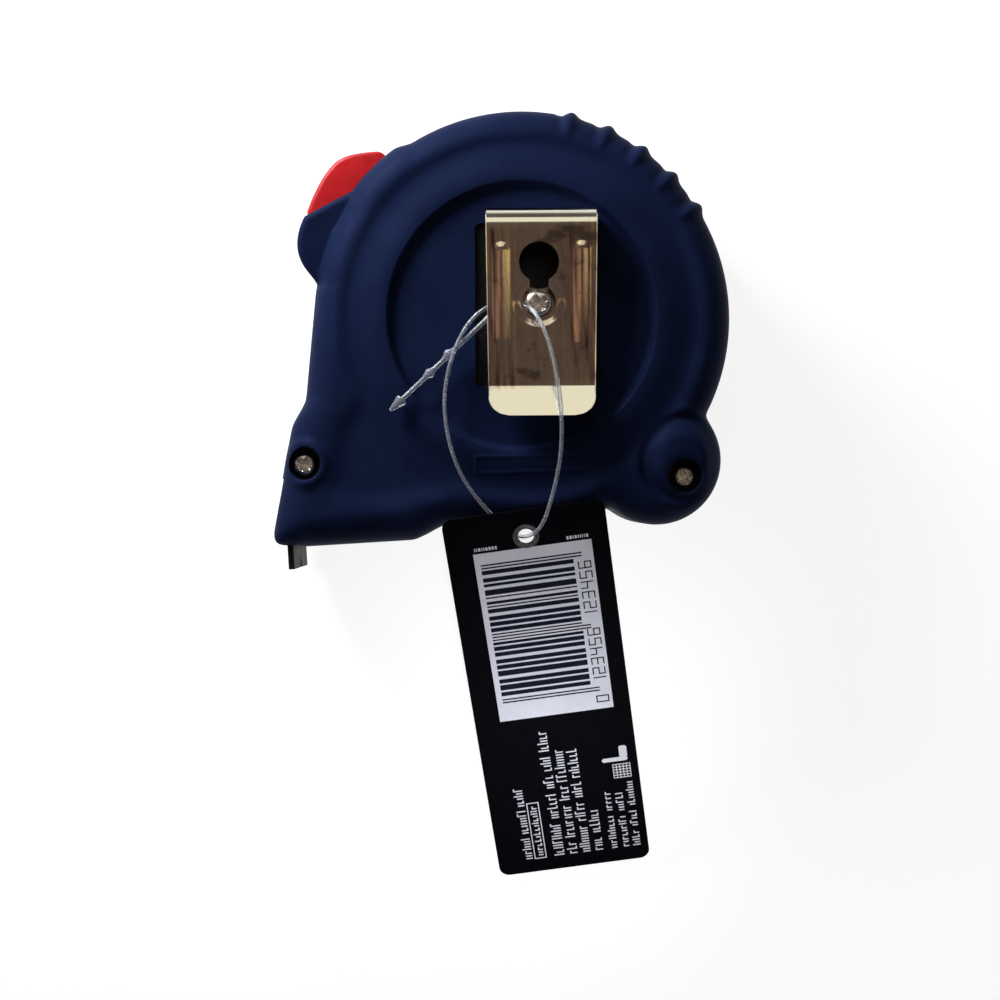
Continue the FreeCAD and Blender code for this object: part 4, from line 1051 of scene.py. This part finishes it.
def loop_tail():
    """The flat-sided tail with two beads and an arrowhead, turned in one piece."""
    bar = [(0, .5), (1.2, .55), (10.6, .5)]
    large_bead = [(11.5, .72), (11.95, 1.1), (12.4, 1.25), (12.85, 1.1), (13.3, .72), (14.2, .5)]
    small_bead = [(16.3, .5), (17.0, .66), (17.4, .95), (17.8, 1.05), (18.2, .95), (18.6, .66), (19.3, .5)]
    arrow = [(24.0, .48), (25.3, .5), (25.45, 1.2), (25.8, 1.22), (27.0, .85), (28.2, .5), (28.7, .34),
             (28.8, .1)]
    start = SOCKET_CENTRE - SOCKET_ALONG * SOCKET_SIZE[0] / 2
    rings = []
    for distance, radius in bar + large_bead + small_bead + arrow:
        flat = 0.82 if radius > 0.6 else 0.9
        middle = start - SOCKET_ALONG * distance
        rings.append([middle - SOCKET_ACROSS * radius * math.cos(a) + UP * flat * radius * math.sin(a)
                      for a in np.linspace(0, 2 * np.pi, 24, endpoint=False)])
    points, faces = solid_of_rings(rings)
    return piece("loop_tail_piece", points, faces, "case", nylon, 60, ["loop_tail"])


def loop_socket():
    """The little barrel that the loop locks into: a rounded block with soft edges."""
    long, wide, high = (s / 2 for s in SOCKET_SIZE)
    rings = []
    ends = [(1, .72), (.97, .86), (.88, .97), (.7, 1)]
    for share, shrink in [(-share, shrink) for share, shrink in ends] + ends[::-1]:
        ring = []
        for a in np.linspace(0, 2 * np.pi, 32, endpoint=False):
            c, s = math.cos(a), math.sin(a)
            y, z = (math.copysign(abs(v) ** 0.55, v) * half * shrink for v, half in ((c, wide), (s, high)))
            ring.append(SOCKET_CENTRE + (SOCKET_ALONG * share * long + SOCKET_ACROSS * y + UP * z))
        rings.append(ring)
    points, faces = solid_of_rings(rings)
    return piece("loop_socket_block", points, faces, "case", nylon, 50, ["loop_socket"])


# ---- CAD nodes that stay: soft edges and materials ----
def soften(node, material, width):
    """A CAD node that is shown as it is, with bevelled edges and its own material."""
    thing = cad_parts[node]
    thing.data.materials.clear()
    thing.data.materials.append(material)
    if width:
        bevel = thing.modifiers.new("soft_edges", "BEVEL")
        bevel.width = width * MM
        bevel.segments = 2
        bevel.limit_method = "ANGLE"
        bevel.angle_limit = math.radians(40)


KEPT = {
    "rear_shell": (shell_black, 0), "front_shell": (shell_black, 0), "front_badge": (badge_grey, 0.3),
    "blade_guide": (spring_metal, 0.1), "hook_bumper": (rubber, 0.2), "centre_post": (shell_black, 0.2),
    "thrust_washers": (shell_black, 0.1), "reel_drum": (reel_white, 0.2), "reel_flange": (reel_white, 0.2),
    "blade_coil": (blade_yellow, 0), "power_spring": (spring_metal, 0.1), "blade_tongue": (blade_yellow, 0),
    "hook_rivets": (screw_metal, 0.15), "end_hook": (hook_metal, 0.25), "lock_arm": (shell_black, 0.2),
    "brake_pad": (rubber, 0.15), "detent_spring": (spring_metal, 0.1),
}


# ---- build ----
cover("cover_clip_side", +1, "rear_cover")
cover("cover_front", -1, "front_cover")
belt_clip()
clip_screw_place = clip_place((KEY_X, KEY_SMALL_Y, 0))[:2]
screw("screw_clip", clip_screw_place, SHELL_HIGH + CLIP_THICK, 2.75, 1.8, 0.5, ["clip_screw"])
screw("screw_foot", FOOT_SCREW, SINK_FLOOR, HEAD_RADIUS, HEAD_HEIGHT, 0.9, ["case_screws"])
screw("screw_boss", BOSS_SCREW, SINK_FLOOR, HEAD_RADIUS, HEAD_HEIGHT, 0.25)
thumb_lock()
swing_tag()
eyelet()
thread = loop_curve()
tail = loop_tail()
socket = loop_socket()
for node_name, (node_material, edge_width) in KEPT.items():
    soften(node_name, node_material, edge_width)


# ---- floor, lights, camera ----
def floor():
    """A pale sheet just under the model, which glows a little so that it stays nearly white."""
    reach, gap = 6.0, 0.0002
    data = bpy.data.meshes.new("floor")
    data.from_pydata([(x, y, 0) for x, y in rectangle(-reach, -reach, reach, reach)], [], [(0, 1, 2, 3)])
    thing = link("floor", data)
    thing.location.z = cad_bounds[0].z - gap
    paint = Paint("floor_paper", (0.3, 0.3, 0.3), 0.9, Specular_IOR_Level=0.1)
    paint.colour(paint.noise(0.004, 3.0), (0.3, 0.29), (0.7, 0.31))
    paint.set("Emission Color", (1, 1, 1, 1))
    paint.set("Emission Strength", 0.86)
    data.materials.append(paint.material)


def light(name, kind, place, aim, power, colour):
    """A light turned towards its aim, and its data. The camera doesn't see an area light's own shape."""
    data = bpy.data.lights.new(name, kind)
    data.energy, data.color = power, colour
    thing = link(name, data)
    thing.location = place
    thing.rotation_euler = (Vector(aim) - Vector(place)).to_track_quat("-Z", "Y").to_euler()
    thing.visible_camera = kind != "AREA"
    return data


def area_light(name, place, aim, size, power, colour):
    data = light(name, "AREA", place, aim, power, colour)
    data.shape, data.size, data.size_y = "RECTANGLE", *size


def spot_light(name, place, aim, cone, power, colour):
    data = light(name, "SPOT", place, aim, power, colour)
    data.spot_size, data.spot_blend, data.shadow_soft_size = math.radians(cone), 0.5, 0.03


def studio_world():
    """Soft light all round: bright at the horizon, with a dim warm ceiling for the steel to mirror."""
    world = bpy.data.worlds.new("studio")
    bpy.context.scene.world = world
    world.use_nodes = True
    nodes, links = world.node_tree.nodes, world.node_tree.links
    place = nodes.new("ShaderNodeTexCoord").outputs["Generated"]
    split = nodes.new("ShaderNodeSeparateXYZ")
    links.new(place, split.inputs["Vector"])
    up = nodes.new("ShaderNodeValToRGB")
    fill_ramp(up.color_ramp, [
        (0.0, 0.3), (0.48, 0.80), (0.53, (0.70, 0.69, 0.68)), (0.60, (0.12, 0.11, 0.105)),
        (0.80, (0.10, 0.09, 0.088)), (0.93, (0.13, 0.10, 0.082)), (1.0, (0.12, 0.09, 0.07)),
    ])
    share = nodes.new("ShaderNodeMapRange")
    share.inputs["From Min"].default_value = -1.0
    links.new(split.outputs["Z"], share.inputs["Value"])
    links.new(share.outputs["Result"], up.inputs["Fac"])
    links.new(up.outputs["Color"], nodes["Background"].inputs["Color"])
    nodes["Background"].inputs["Strength"].default_value = 1.0


def camera():
    """Straight above the tape, turned a little, as the photograph was taken."""
    place, turn = (-6.74, -36.88, 420), -3.5
    data = bpy.data.cameras.new("camera")
    data.lens, data.sensor_width = 67.97, 36.0
    data.clip_start, data.clip_end = 0.01, 20.0
    thing = link("camera", data)
    thing.location = [c * MM for c in place]
    thing.rotation_euler = (0, 0, math.radians(turn))
    bpy.context.scene.camera = thing


floor()
area_light("window", (-0.132, 0.172, 0.118), (-0.01, -0.01, 0.03), (0.10, 0.10), 1.15, (0.92, 0.96, 1.0))
area_light("bead_strip_warm", (0.30, -0.02, 0.56), (0.0, 0.0, 0.04), (0.05, 0.36), 0.030, (1.0, 0.78, 0.38))
area_light("bead_strip_red", (-0.27, -0.02, 0.56), (0.0, 0.0, 0.04), (0.05, 0.36), 0.016, (1.0, 0.50, 0.32))
spot_light("tag_lamp", (0.02, -0.26, 0.34), (0.0, -0.092, 0.016), 13, 4.0, (0.97, 0.98, 1.0))
area_light("panel", (0.0, 0.46, 0.58), (0, 0, 0.04), (0.6, 0.34), 0.60, (1.0, 0.97, 0.82))
studio_world()
camera()
bpy.context.scene.view_settings.view_transform = "Standard"
